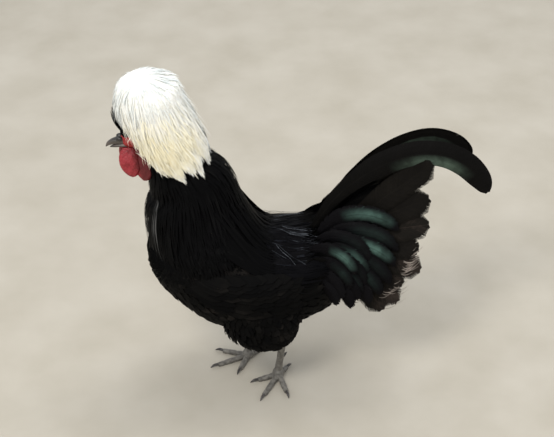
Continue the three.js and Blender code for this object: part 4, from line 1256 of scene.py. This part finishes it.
def crest_reach(angle):
    """The share of the crest's length that its feathers reach down to."""
    front = angle % FULL - math.pi
    lappet = LAPPET["longer"] * hump(np.abs(front), LAPPET["angle"], LAPPET["spread"])
    reach = mix(FRONT_REACH, 1.0, ((1 + np.cos(angle)) / 2) ** 0.6)
    return reach + lappet - PARTING["shorter"] * hump(front, 0, PARTING["spread"])


def stand_off(u, angle):
    return FULLER["off"] * hump(u, FULLER["at"], FULLER["spread"]) * np.clip(np.cos(angle) + 0.2, 0, 1)


def down_relief(u, angle):
    """The down follows the feathers over it, and draws in near their tips."""
    hem = np.minimum(crest_reach(angle), 0.82)
    return 0.8 * stand_off(u - 0.2, angle) - 24 * ramped(u, hem - 0.12, hem - 0.01)


def in_locks(u, angle, pull):
    """Angles of the tips drawn together in locks, and how much longer each one is, from -1 to 1."""
    table = LAYERS + 1, LOCKS
    layer = np.floor(u * LAYERS).astype(int)
    staggered = 0.5 * (np.arange(LAYERS + 1)[:, None] % 2)
    centres = np.arange(LOCKS) + jitter(table, 0.3) + staggered
    lock = np.round(angle / FULL * LOCKS - 0.5 * (layer % 2)).astype(int) % LOCKS
    middle = centres[layer, lock] / LOCKS * FULL
    off = (middle - angle + math.pi) % FULL - math.pi
    lengths = jitter(table, 0.4)[layer, lock]
    return angle + pull * off, lengths + 0.6 - 1.2 * np.minimum(np.abs(off) * LOCKS / math.pi, 1)


def crest_tone(u, angle):
    """1 is a greyer, bluish white at the top and the back, a painted tint for the bright light there, and 0
    is cream, on the sides.
    """
    cream = hump(u, CREAM["at"], CREAM["spread"]) * (0.25 + 0.75 * np.abs(np.sin(angle)))
    return np.clip(1 - CREAM["depth"] * cream + jitter(u.shape, 0.08), 0, 1)


def rooted_on(side, groups):
    """The guides in groups that are rooted on one side of the bird."""
    kept = []
    for group in groups:
        rows = (group["path"][:, 0, 1] > 0) == (side > 0)
        kept.append({key: values[rows] for key, values in group.items()})
    return kept


def crest_hairs():
    """Guides for the loose hairs that stand off the crest."""
    count = CREST_HAIRS["count"]
    u, angle = RANDOM.uniform(*CREST_HAIRS["over"], count), jitter(count, 2.6)
    end = further(CREST, u, angle, RANDOM.uniform(*CREST_HAIRS["length"], count))
    towards = np.minimum(end, crest_reach(angle)), angle + jitter(count, 0.25)
    lift = (-2, RANDOM.uniform(*CREST_HAIRS["lift"], count))
    path, face = laid(CREST, (u, angle), towards, lift=lift, rise=0.9, stations=7)
    return vanes(path, face, CREST_HAIRS["width"], lance, unwrapped(u, angle, "crest"), crest_tone(u, angle))


def grow_crest():
    u, angle = coat_roots(CREST_COAT, CREST)
    end_angle, lock = in_locks(u, angle, mix(0.1, 0.85, ramped(u, 0.3, 0.6)))
    reach = crest_reach(end_angle) * (1 + 0.1 * lock) + 0.07
    length = mix(*CREST_COAT["length"], np.clip(u / 0.4, 0, 1))
    length = np.minimum(length, (reach - u) * CREST.speed(u, angle))
    kept = length > CREST_COAT["shortest"]
    u, angle, end_angle, length = u[kept], angle[kept], end_angle[kept], length[kept]
    end = further(CREST, u, angle, length * (1 + jitter(u.shape, 0.06)))
    towards = end, end_angle + jitter(u.shape, 0.04)
    lift = (-2.5, 0.4 + stand_off(u, angle) + jitter(u.shape, 0.7))
    path, face = laid(CREST, (u, angle), towards, lift=lift, scale=(0.78, 1.0), rise=2.0, stations=7)
    width, strands = CREST_COAT["width"], CREST_COAT["strands"]
    root = unwrapped(u, angle, "crest")
    groups = frayed(path, face, width, root, crest_tone(u, angle), strands, spread=0.75, shorten=0.3)
    groups.append(crest_hairs())
    for word, side in SIDES:
        rooted = rooted_on(side, groups)
        feathers(f"crest_feathers_{word}", rooted, WHITE, ["crest"], ridge=0.08)
    down = CREST.tube(48, 48, scale=0.95, relief=down_relief, span=(0.01, 0.8))
    piece("crest_down", *down, DOWN, "white_plumage")


TUFT = {"count": 170, "root": (-228, 14, 409), "tip": (-244, 19, 446), "width": 3.6}
TUFT_BASE = {"centre": (-226.5, 0, 411), "half": (8, 12, 6.5), "around": 20}


def grow_tuft():
    """Black feathers that stand before the crest, over the beak."""
    count = TUFT["count"]
    share, t = RANDOM.uniform(-1, 1, count)[:, None], np.linspace(0, 1, 6)[None, :]
    reach = RANDOM.uniform(0.45, 1, count)[:, None] * t
    x, y, z = (mix(a, b, reach) for a, b in zip(TUFT["root"], TUFT["tip"]))
    bow = 3.5 * np.sin(np.pi * reach) + RANDOM.uniform(-3, 2.5, count)[:, None]
    points = np.stack([x - bow + 7 * share**2, y * share, z + (5 - 14 * reach) * share**2], -1)
    face = unit(np.stack([-np.ones_like(reach), 0.5 * share + 0 * reach, 0 * reach], -1))
    root = np.stack([0.52 + 0.05 * share[:, 0], np.full(count, 0.78)], -1)
    group = vanes(points, face, TUFT["width"], lance, root, tones(count, 0, 0.5))
    feathers("crest_band_feathers", [group], BLACK, ["crest_band"])
    piece("crest_band_base", *egg(**TUFT_BASE), BLACK, "black_plumage")


# Tail

# Rises and spreads are in degrees: upwards from the level, and outwards from the middle. A pair of
# values is for the top and the lowest feather of a row.
TAIL_ROOT = (34, 11, 229)
FAN_FEATHERS = 8  # on each side
TOP_FEATHER = {"rise": 44, "spread": 3, "length": 190}
LOW_FEATHER = {"rise": -39, "spread": 40, "length": 119}
FAN_WIDTH, SICKLE_WIDTH, COVERT_WIDTHS = 39, 35, (27, 22)
FAN_DROOP = 9  # how far the tips of the fan's feathers hang
FAN_HAIRS = {4: 22, 6: 9}  # how many pale hairs are left at the worn tips of these feathers of the fan
UNDERTAIL_WIDTH, UNDERTAIL_HAIRS = 22, 8
WORN_HAIR = {"across": 15, "length": (14, 24), "width": 0.7}
# The middle line of each sickle feather, with y outwards from the middle of the bird
SICKLES = {
    LEFT: [
        (14, 9, 246), (42, 15, 298), (77, 20, 335), (114, 22, 358), (150, 22, 368),
        (186, 22, 364), (216, 21, 347), (238, 19, 322), (250, 18, 300),
    ],
    RIGHT: [
        (18, 9, 240), (38, 12, 264), (58, 14, 290), (77, 15, 314), (105, 15, 344),
        (138, 15, 365), (171, 15, 373), (199, 15, 365), (217, 15, 350), (228, 15, 335),
    ],
}
# Each row has its top and its lowest feather's start, their slopes at the root and at the tip, and
# how strongly each feather shines, from the top down.
COVERT_ROWS = [
    {"top": (21, 22, 242), "low": (34, 42, 205), "rise": (70, -2), "fall": (-50, -68),
     "spread": (12, 27), "length": (144, 85), "shine": (0.85, 0.14, 0.95, 0.05, 0.1, 0.0)},
    {"top": (15, 31, 238), "low": (26, 49, 201), "rise": (48, -12), "fall": (-78, -84),
     "spread": (19, 30), "length": (101, 67), "shine": (0.05, 0.62, 0.05, 0.1, 0.0, 0.0)},
    {"top": (5, 43, 235), "low": (16, 52, 198), "rise": (34, -20), "fall": (-84, -86),
     "spread": (22, 30), "length": (86, 54), "shine": (0.95, 0.1, 0.0, 0.0)},
]
MIDDLE = {"count": 15, "x": 31, "y": 11, "z": 232, "rise": (64, 30), "length": (118, 84), "width": 17.0}
TAIL_COVER = {
    "over": (0.69, 0.88), "apart": (7.0, 7.5), "degrees": 54, "rise": (52, 4), "spread": (3, 26),
    "length": (62, 46), "width": 11.0,
}
UNDERTAIL = (  # each one's start, its rises at the root and at the tip, its spread and its length
    ((46, 40, 196), (-54, -8), 12, 94),
    ((50, 44, 198), (-36, -12), 11, 92),
    ((46, 34, 196), (-62, -50), 14, 62),
)


def heading(side, turn, rise):
    """A direction backwards, turned outwards from the middle and raised."""
    return np.array([math.cos(rise) * math.cos(turn), side * math.cos(rise) * math.sin(turn), math.sin(rise)])


def arched(side, start, turn, slopes, length):
    """A path from start with a constant turn outwards and the given rise at each step."""
    out = np.stack([heading(side, turn, slope) for slope in slopes])
    steps = np.concatenate([np.zeros((1, 3)), np.cumsum(out[:-1], 0)])
    return on_side(start, side) + steps * length / len(slopes)


def fan_feather(side, share):
    """The direction and the length of one of the fan's feathers, from share 0 on top down to 1."""
    top, low = TOP_FEATHER, LOW_FEATHER
    rise, spread = (math.radians(mix(top[key], low[key], share)) for key in ("rise", "spread"))
    length = mix(low["length"], top["length"], max(0.0, 1 - share) ** 2.8)
    return heading(side, spread, rise), length


def facing(t, *direction):
    """The same face at every station of a long feather."""
    return np.tile(unit(np.array(direction)), (len(t), 1))


def own_patch(side, x, y):
    """The place of a long feather's patch in the bake map, which differs between the two sides."""
    return x + RIGHT_HALF * (side > 0), y


def wisps(start, direction, face, where, count):
    """Guides for the loose pale hairs at a feather's worn tip, which curl upwards."""
    t = np.linspace(0, 1, 8)[None, :, None]
    beside = np.cross(direction, face)
    base = start + beside * jitter((count, 1), WORN_HAIR["across"]) + face * jitter((count, 1), 1.5)
    out = unit(direction + beside * jitter((count, 1), 0.5))[:, None]
    length = RANDOM.uniform(*WORN_HAIR["length"], (count, 1, 1))
    path = base[:, None] + out * length * t + np.array([0, 0, 1.0]) * (0.75 * length * t**2)
    roots = np.tile(np.array([where]), (count, 1))
    faces = np.tile(face, (count, t.size, 1))
    return vanes(path, faces, WORN_HAIR["width"], lance, roots, tones(count, 0.9, 1.6))


def middle_feathers():
    """Guides for the arched feathers that fill the ridge of the tail, between its two halves."""
    share, t = np.linspace(-1, 1, MIDDLE["count"]), np.linspace(0, 1, 14)
    outer = np.abs(share)[:, None]
    rise = np.radians(mix(*MIDDLE["rise"], t[None, :]) - 6 * outer + jitter((len(share), 1), 4))
    length = mix(*MIDDLE["length"], outer) * (1 + jitter((len(share), 1), 0.08))
    ahead = np.stack([np.cos(rise), 0.06 * share[:, None] * np.ones_like(rise), np.sin(rise)], -1)
    x, z = MIDDLE["x"] + jitter(share.shape, 6), np.full(share.shape, MIDDLE["z"])
    start = np.stack([x, MIDDLE["y"] * share, z], -1)
    path = start[:, None] + np.cumsum(ahead * (length / len(t))[..., None], 1)
    outwards = np.where(share < 0, -1, 1)[:, None] * np.array([0.0, 1.0, 0.0])
    face = unit(outwards + np.array([-0.25, 0.0, 0.5]) * (1 - outer))
    face = np.repeat(face[:, None], len(t), axis=1)
    root = np.stack([0.6 + 0.05 * share, np.full(share.shape, 0.68)], -1)
    return vanes(path, face, MIDDLE["width"], oval, root, tones(len(share), 0, 0.6))


def grow_tail_root():
    """Dark feathers that sweep from the back up on to the root of the tail."""
    widest = math.radians(TAIL_COVER["degrees"])
    u, angle = coat_roots(TAIL_COVER, BODY, -widest, widest)
    share, side = np.abs(angle) / widest, np.sign(angle)
    start, out = BODY.point(u, angle, 1.0), BODY.normal(u, angle)
    ahead = unit(BODY.point(u + 0.03, angle) - BODY.point(u - 0.03, angle))
    raised = mix(0.4, 1, ramped(u, 0.69, 0.8))
    rise = np.radians(mix(*TAIL_COVER["rise"], share) * raised + jitter(u.shape, 5))
    turn = np.radians(mix(*TAIL_COVER["spread"], share))
    level = np.cos(rise)
    towards = np.stack([level * np.cos(turn), side * level * np.sin(turn), np.sin(rise)], -1)
    length = (mix(*TAIL_COVER["length"], share) * (1 + jitter(u.shape, 0.15)))[:, None]
    corner = start + ahead * length * 0.45
    path = bent(start, corner, corner + towards * length * 0.55)
    t = np.linspace(0, 1, path.shape[1])[None, :, None]
    side = side[:, None]
    away = unit(np.array([0.0, 1.0, 0.0]) * side - towards * towards[:, 1:2] * side)
    face = unit(mix(out[:, None], away[:, None], t))
    root = unwrapped(u, angle, "saddle")
    group = vanes(path, face, TAIL_COVER["width"], oval, root, tones(len(u), 0, 0.6))
    feathers("tail_root_feathers", [group, middle_feathers()], BLACK)


def grow_tail_fan(word, side):
    groups = []
    t = np.linspace(0.08, 1, 16)
    for k in range(FAN_FEATHERS):
        share = k / (FAN_FEATHERS - 1)
        direction, length = fan_feather(side, share)
        face = unit(np.cross(direction, fan_feather(side, share + 0.05)[0]) * side)
        root = on_side(TAIL_ROOT, side) + face * 2 * (FAN_FEATHERS / 2 - k)
        hairs = FAN_HAIRS.get(k, 0)
        length = length * (1 - 0.025 * (k % 2) + jitter((), 0.015)) + 0.4 * hairs
        path = root + direction * (length * t)[:, None]
        path[:, 2] -= FAN_DROOP * t**2
        half = outline(t, FAN_WIDTH / 2, 0.25, 1.25, BLUNT)
        where = own_patch(side, 0.5 + 0.02 * k, 0.88)
        worn = share > 0.5
        edges = {"ragged": 0.02 + 0.03 * worn, "gather": 0.07, "worn": 0.33 * worn}
        groups += webs(path, np.tile(face, (len(t), 1)), half, where, 0.36 + jitter((), 0.12), **edges)
        if hairs:
            groups.append(wisps(path[-4], direction, face, where, hairs))
    feathers(f"tail_fan_feathers_{word}", groups, TAIL, [f"tail_fan_{word}"])


def grow_undertail(word, side):
    """The brown worn feathers that show beneath the coverts."""
    groups = []
    t = np.linspace(0, 1, 14)
    for k, (start, rise, spread, length) in enumerate(UNDERTAIL):
        turn = math.radians(spread)
        path = arched(side, start, turn, np.radians(mix(*rise, t)), length)
        direction = heading(side, turn, math.radians(rise[1]))
        face = facing(t, -0.35, side, 0.1)
        half = outline(t, UNDERTAIL_WIDTH / 2, 0.35, 2.0, BLUNT)
        where = own_patch(side, 0.5 + 0.04 * k, 0.95)
        groups += webs(path, face, half, where, 0.74, ragged=0.12, gather=0.3)
        groups.append(wisps(path[-2], direction, face[0], where, UNDERTAIL_HAIRS))
    feathers(f"undertail_feathers_{word}", groups, TAIL)


def grow_sickle(word, side):
    t = np.linspace(0, 1, 40)
    path = spline(on_side(SICKLES[side], side), t)
    face = facing(t, 0.0, side, 0.15)
    half = outline(t, SICKLE_WIDTH / 2, 0.25, 2.3, HOOKED)
    where = (0.92 + 0.03 * (side > 0), 0.7)
    edges = {"ragged": 0.004, "gather": 0.03, "tip": 1.0}
    groups = webs(path, face, half, where, 0.4, shine=1.0, droop=0.24, shaft=1.2, **edges)
    for group in groups:
        group["edge"] = -side * group["edge"]
    feathers(f"sickle_feather_{word}", groups, DARK_SHEEN, [f"sickle_{word}"])


def grow_coverts(word, side):
    groups = []
    t = np.linspace(0, 1, 20)
    for row, place in enumerate(COVERT_ROWS):
        for k, shine in enumerate(place["shine"]):
            share = k / (len(place["shine"]) - 1)
            turn, first, last = (math.radians(mix(*place[key], share)) for key in ("spread", "rise", "fall"))
            slopes = np.linspace(first, last, len(t)) + math.radians(jitter((), 3))
            start = mix(np.array(place["top"], float), np.array(place["low"], float), share)
            length = mix(*place["length"], share) * (1 + jitter((), 0.04))
            path = arched(side, start, turn, slopes, length)
            face = facing(t, -math.sin(turn), side * math.cos(turn), 0.2)
            half = outline(t, mix(*COVERT_WIDTHS, row / 2) / 2, 0.3, 2.0, ROUND)
            where = own_patch(side, 0.5 + 0.03 * k, 0.7 + 0.08 * row)
            tone, gleam = 0.3 + jitter((), 0.2), shine * RANDOM.uniform(0.85, 1.1)
            edges = {"ragged": 0.07, "gather": 0.28, "spacing": 1.3}
            groups += webs(path, face, half, where, tone, shine=gleam, droop=0.3, **edges)
    feathers(f"tail_covert_feathers_{word}", groups, SHEEN, [f"tail_coverts_{word}"])


# Legs

PALM = {"z": 7.5, "radius": 8.5, "height": 8.7}  # radius and height are half sizes
TOE = {"radius": 3.9, "z": 3.3, "claw": 12}
TOES = (
    {"turn": -44, "length": 43},
    {"turn": 0, "length": 60},
    {"turn": 42, "length": 51},
    {"turn": 168, "length": 32},
)
PLATE, SCALE = 0.55, 0.25  # how far the leg's plates and its small scales stand out
SCALE_LANES = 14  # lanes of small scales round a leg
SHANK_PLATES, TOE_PLATE = 19, 4  # plates down a shank, and the length of one on a toe


def scutes(count, front):
    """A relief of raised plates across the front, and of small scales round the rest.

    front is how far forwards the plates are full: 0 is at the sides of a leg, and 1 at its front.
    """
    def relief(u, angle):
        face = ramped(-np.cos(angle), front - 0.35, front)
        plate = (u * count) % 1
        ledge = PLATE * np.minimum(plate * 1.1, (1 - plate) * 7).clip(0, 1)
        lane = np.round(angle / FULL * SCALE_LANES)
        rows = np.abs(np.sin(np.pi * (u * count * 1.7 + 0.5 * (lane % 2))))
        small = SCALE * rows * np.abs(np.sin(SCALE_LANES / 2 * angle))
        return mix(small, ledge, face)
    return relief


def grounded(shell):
    """A shell with nothing below the floor."""
    verts, faces = shell
    return [(x, y, max(z, 0.0)) for x, y, z in verts], faces


def make_shank(word, side):
    x, y, z = shank_top(side)
    foot = FEET[side]
    bone = Loft([
        (x, y, z + 4, 6, 7, 7),
        (x - 1, mix(y, foot["y"], 0.12), z - 12, 5, 6, 6),
        (mix(x, foot["x"], 0.5), mix(y, foot["y"], 0.5), 44, 4, 4.8, 4.8),
        (mix(x, foot["x"], 0.85), mix(y, foot["y"], 0.85), 22, 4.4, 5, 5),
        (foot["x"], foot["y"], 9, 5.6, 6, 6),
    ])
    shell = bone.tube(150, 42, relief=scutes(SHANK_PLATES, 0.45))
    piece(f"shank_scales_{word}", *shell, SCALES, "leg_scales", [f"shank_{word}"])


def toe_direction(side, toe):
    turn = math.radians(FEET[side]["heading"] + toe["turn"])
    return np.array([-math.cos(turn), side * math.sin(turn), 0.0])


def on_toe(side, toe, reach, z, radius):
    """A station of a toe at a reach in millimetres from the foot's middle."""
    place = np.array([FEET[side]["x"], FEET[side]["y"], z]) + toe_direction(side, toe) * reach
    return (*place, radius, radius, radius)


def make_foot(word, side):
    foot, radius = FEET[side], PALM["radius"]
    joints = lambda u: -0.5 * np.abs(np.cos(np.pi * (u * 3 - 0.3))) ** 12
    shells = [egg((foot["x"], foot["y"], PALM["z"]), (radius, radius, PALM["height"]))]
    for toe in TOES:
        reach, r = toe["length"] - TOE["claw"], TOE["radius"]
        loft = Loft([
            on_toe(side, toe, 0.05 * reach, TOE["z"] + 2, r),
            on_toe(side, toe, 0.35 * reach, TOE["z"] + 0.6, r),
            on_toe(side, toe, 0.7 * reach, TOE["z"], r * 0.95),
            on_toe(side, toe, reach, TOE["z"] - 0.3, r * 0.8),
        ])
        plates = scutes(max(5, round(reach / TOE_PLATE)), 0.2)
        shells.append(loft.tube(90, 28, relief=lambda u, angle: plates(u, angle + np.pi) + joints(u)))
    shell = grounded(together(shells))
    merged(f"foot_scales_{word}", [shell], SCALES, "leg_scales", [f"foot_{word}"], voxel=0.62, rounds=1)


def make_claws(word, side):
    for i, toe in enumerate(TOES):
        length, claw, z = toe["length"], TOE["claw"], TOE["z"]
        horn = Loft([
            on_toe(side, toe, length - claw - 1, z + 0.4, 1.9),
            on_toe(side, toe, length - claw * 0.6, z + 1, 2),
            on_toe(side, toe, length - claw * 0.25, z - 0.2, 1.3),
            on_toe(side, toe, length, 1, 0.3),
        ])
        shell = grounded(horn.tube(18, 14))
        piece(f"claw_horn_{word}_{i + 1}", *shell, HORN, "horn", [f"claw_{word}_{i + 1}"])


def make_spur(word, side):
    x, y = FEET[side]["x"], FEET[side]["y"]
    horn = Loft([
        (x + 2, y + side, 36, 3.2, 3.2, 3.2),
        (x + 8, y - side * 4, 36, 2.6, 2.6, 2.6),
        (x + 13, y - side * 8, 38, 0.4, 0.4, 0.4),
    ])
    piece(f"spur_horn_{word}", *horn.tube(16, 18), HORN, "horn", [f"spur_{word}"])


# Head

BEAK_TOP = Loft([
    (-224, 0, 399, 8, 8, 3.4),
    (-233, 0, 399.8, 6.8, 6.8, 3.4),
    (-243, 0, 398, 4.8, 5.2, 3.2),
    (-250, 0, 394, 2.6, 3.2, 2.8),
    (-254, 0, 389, 0.4, 0.4, 0.4),
])
BEAK_LOW = Loft([
    (-224, 0, 391.6, 6.8, 2.4, 4.2),
    (-234, 0, 391, 5.2, 2.2, 3.4),
    (-243, 0, 389.8, 3, 1.8, 2.3),
    (-249, 0, 388.4, 0.5, 0.4, 0.4),
])
WATTLE_FRONT = (
    (-225, 7, 390, 2.5, 7, 7),
    (-225, 9.2, 381, 3.3, 12, 12),
    (-225, 11.8, 369, 4.4, 12.5, 12),
    (-221.5, 13.2, 358, 4, 10.5, 9),
    (-218, 13.6, 350.5, 1.2, 4, 4),
)
WATTLE_REAR = (
    (-216, 7, 388, 2, 6, 6),
    (-211, 8.3, 377, 2.6, 9, 8),
    (-207.5, 10.6, 364, 3, 11, 10),
    (-205, 12.2, 352, 2.8, 10.5, 9.5),
    (-204, 13, 342.5, 1, 4, 4),
)
COMB_HORN = (
    (-226, 3, 410, 2, 3.4, 3.4),
    (-229, 4.5, 417, 2, 3, 3),
    (-231, 7, 424, 1.5, 2.2, 2.2),
    (-231, 9, 429, 0.3, 0.3, 0.3),
)
COMB_BASE = {"centre": (-225.5, 0, 411), "half": (3, 5, 3.5)}
FLAP = {"centre": (-235, 4.6, 402.4), "half": (5, 3.2, 3)}  # over a nostril
EARLOBE = {"centre": (-195, 16.5, 389), "half": (7, 3, 9)}
EYELIDS = {"wide": 4.3, "tall": 3.1, "off": 0.55, "rim": 0.8, "around": 40, "ring": 14}
HEAD_GRID = {"voxel": 0.5, "rounds": 2}  # for the beak and the comb
GRAIN = {"size": 0.32, "pitch": 3.1}  # of the wattles' skin
WATTLE_PAINTED_SHADE = (-220, -211)  # between these places the rear lobe turns dark with painted shade


def pebbled(verts):
    """Verts raised by small rounded grains, away from their own middle."""
    points = np.array(verts, float)
    middle = points.mean(0)
    turned = np.array([[1.0, 0.3, 0.2], [-0.2, 0.9, 0.5], [0.1, -0.6, 1.1]])
    waves = np.sin(points @ turned * FULL / GRAIN["pitch"])
    grain = np.abs(waves[:, 0] * waves[:, 2]) + 0.4 * np.abs(waves[:, 1])
    away = unit((points - middle) * (0.2, 1, 0.2))
    return [tuple(p) for p in points + away * (grain * GRAIN["size"])[:, None]]


def shell_of(stations, side, along, around, relief=None):
    """The shell of a loft given for one side of the head, on the side asked for."""
    return Loft([(x, side * y, *rest) for x, y, *rest in stations]).tube(along, around, relief=relief)


def folds(u, angle):
    """The shallow folds of a wattle."""
    wide, narrow = 0.5 * np.sin(9 * u + angle), 0.25 * np.sin(21 * u + 5 * np.cos(angle))
    return np.sin(angle) ** 2 * (wide + narrow)


def make_wattle(word, side):
    """A thick front lobe and a thinner one behind it, both with shallow folds and a fine grain."""
    shells = []
    for lobe in (WATTLE_FRONT, WATTLE_REAR):
        verts, faces = shell_of(lobe, side, 64, 60, folds)
        shells.append((pebbled(verts), faces))
    made = merged(f"wattle_skin_{word}", shells, RED, "red_skin", [f"wattle_{word}"], voxel=0.55, rounds=1)
    x, _, z = places(made.data)
    # painted shade, darker towards the rear lobe
    marked(made.data, "painted_shade", ramped(x + 0.25 * (z - 365), *WATTLE_PAINTED_SHADE))


def eyelids(centre, side):
    """A soft rim round the almond opening of an eye, on the eyeball."""
    verts, faces = [], []
    around, ring = EYELIDS["around"], EYELIDS["ring"]
    for k in range(around):
        turn = FULL * k / around
        wide, tall = EYELIDS["wide"], EYELIDS["tall"] * (1 - 0.12 * math.cos(2 * turn))
        x, z = wide * math.cos(turn), tall * math.sin(turn)
        depth = math.sqrt(max(EYE["radius"] ** 2 - x * x - z * z, 0.6))
        for i in range(ring):
            tilt = FULL * i / ring
            swell = 1 + 0.85 * math.cos(tilt) / math.hypot(wide, tall) * 1.7
            out = depth + EYELIDS["off"] + EYELIDS["rim"] * math.sin(tilt)
            verts.append((centre[0] + x * swell, centre[1] + side * out, centre[2] + z * swell))
    for k in range(around):
        for i in range(ring):
            a, b = k * ring + i, ((k + 1) % around) * ring + i
            c, d = ((k + 1) % around) * ring + (i + 1) % ring, k * ring + (i + 1) % ring
            faces.append((a, b, c, d) if side < 0 else (d, c, b, a))
    return verts, faces


def make_head():
    flaps = [egg(on_side(FLAP["centre"], side), FLAP["half"], 16) for _, side in SIDES]
    upper, lower = [BEAK_TOP.tube(40, 36), *flaps], [BEAK_LOW.tube(30, 24)]
    merged("beak_top_horn", upper, BEAK, "horn", ["beak_upper"], **HEAD_GRID)
    merged("beak_low_horn", lower, BEAK, "horn", ["beak_lower"], **HEAD_GRID)
    for word, side in SIDES:
        make_wattle(word, side)
        lobe = egg(on_side(EARLOBE["centre"], side), EARLOBE["half"], 28)
        piece(f"earlobe_skin_{word}", *lobe, LOBE, "earlobe_skin", [f"earlobe_{word}"])
        centre = (EYE["x"], side * EYE["y"], EYE["z"])
        piece(f"eyeball_{word}", *egg(centre, (EYE["radius"],) * 3, 40), EYEBALL, "eye", [f"eye_{word}"])
        piece(f"eyelids_{word}", *eyelids(centre, side), RED, "red_skin")
    horns = [shell_of(COMB_HORN, side, 20, 18) for _, side in SIDES]
    merged("comb_skin", [*horns, egg(**COMB_BASE)], RED, "red_skin", ["comb"], **HEAD_GRID)


make_skin()
grow_body()
grow_stern()
grow_saddle()
grow_tail_root()
grow_hackles()
grow_crest()
grow_tuft()
make_head()
for word, side in SIDES:
    grow_thigh(word, side)
    grow_wing(word, side)
    grow_tail_fan(word, side)
    grow_undertail(word, side)
    grow_coverts(word, side)
    grow_sickle(word, side)
    make_shank(word, side)
    make_foot(word, side)
    make_claws(word, side)
    make_spur(word, side)

# Scene, in metres

FLOOR = 6.0  # half its size
LIT = (-0.05, 0, 0.25)  # what the lamps point at


def lamp(name, place, size, power, colour):
    data = bpy.data.lights.new(name, "AREA")
    data.shape = "DISK"
    data.size = size
    data.energy = power
    data.color = colour
    placed(name, data, place, Vector(LIT) - Vector(place))


def set_stage():
    material, tree, shader = principled("pale_floor", Roughness=0.9)
    colour = ramp(tree, noise(tree, 9.0, 6.0), [(0.3, (0.44, 0.405, 0.335)), (0.7, (0.51, 0.475, 0.405))])
    tree.links.new(colour, shader.inputs["Base Color"])
    mesh = bpy.data.meshes.new("floor")
    corners = [(-FLOOR, -FLOOR, 0), (FLOOR, -FLOOR, 0), (FLOOR, FLOOR, 0), (-FLOOR, FLOOR, 0)]
    mesh.from_pydata(corners, [], [(0, 1, 2, 3)])
    mesh.materials.append(material)
    floor = bpy.data.objects.new("floor", mesh)
    bpy.context.collection.objects.link(floor)
    world = bpy.data.worlds.new("studio")
    world.use_nodes = True
    sky = world.node_tree.nodes["Background"].inputs
    sky["Color"].default_value = (0.95, 0.97, 1.0, 1.0)
    sky["Strength"].default_value = 0.85
    bpy.context.scene.world = world
    lamp("key", (-0.9, -1.3, 2.2), 0.7, 30, (1.0, 0.97, 0.92))
    lamp("top", (0.5, 0.6, 2.4), 1.2, 18, (1.0, 0.98, 0.95))
    bpy.context.scene.view_settings.view_transform = "Standard"


place_camera()
set_stage()
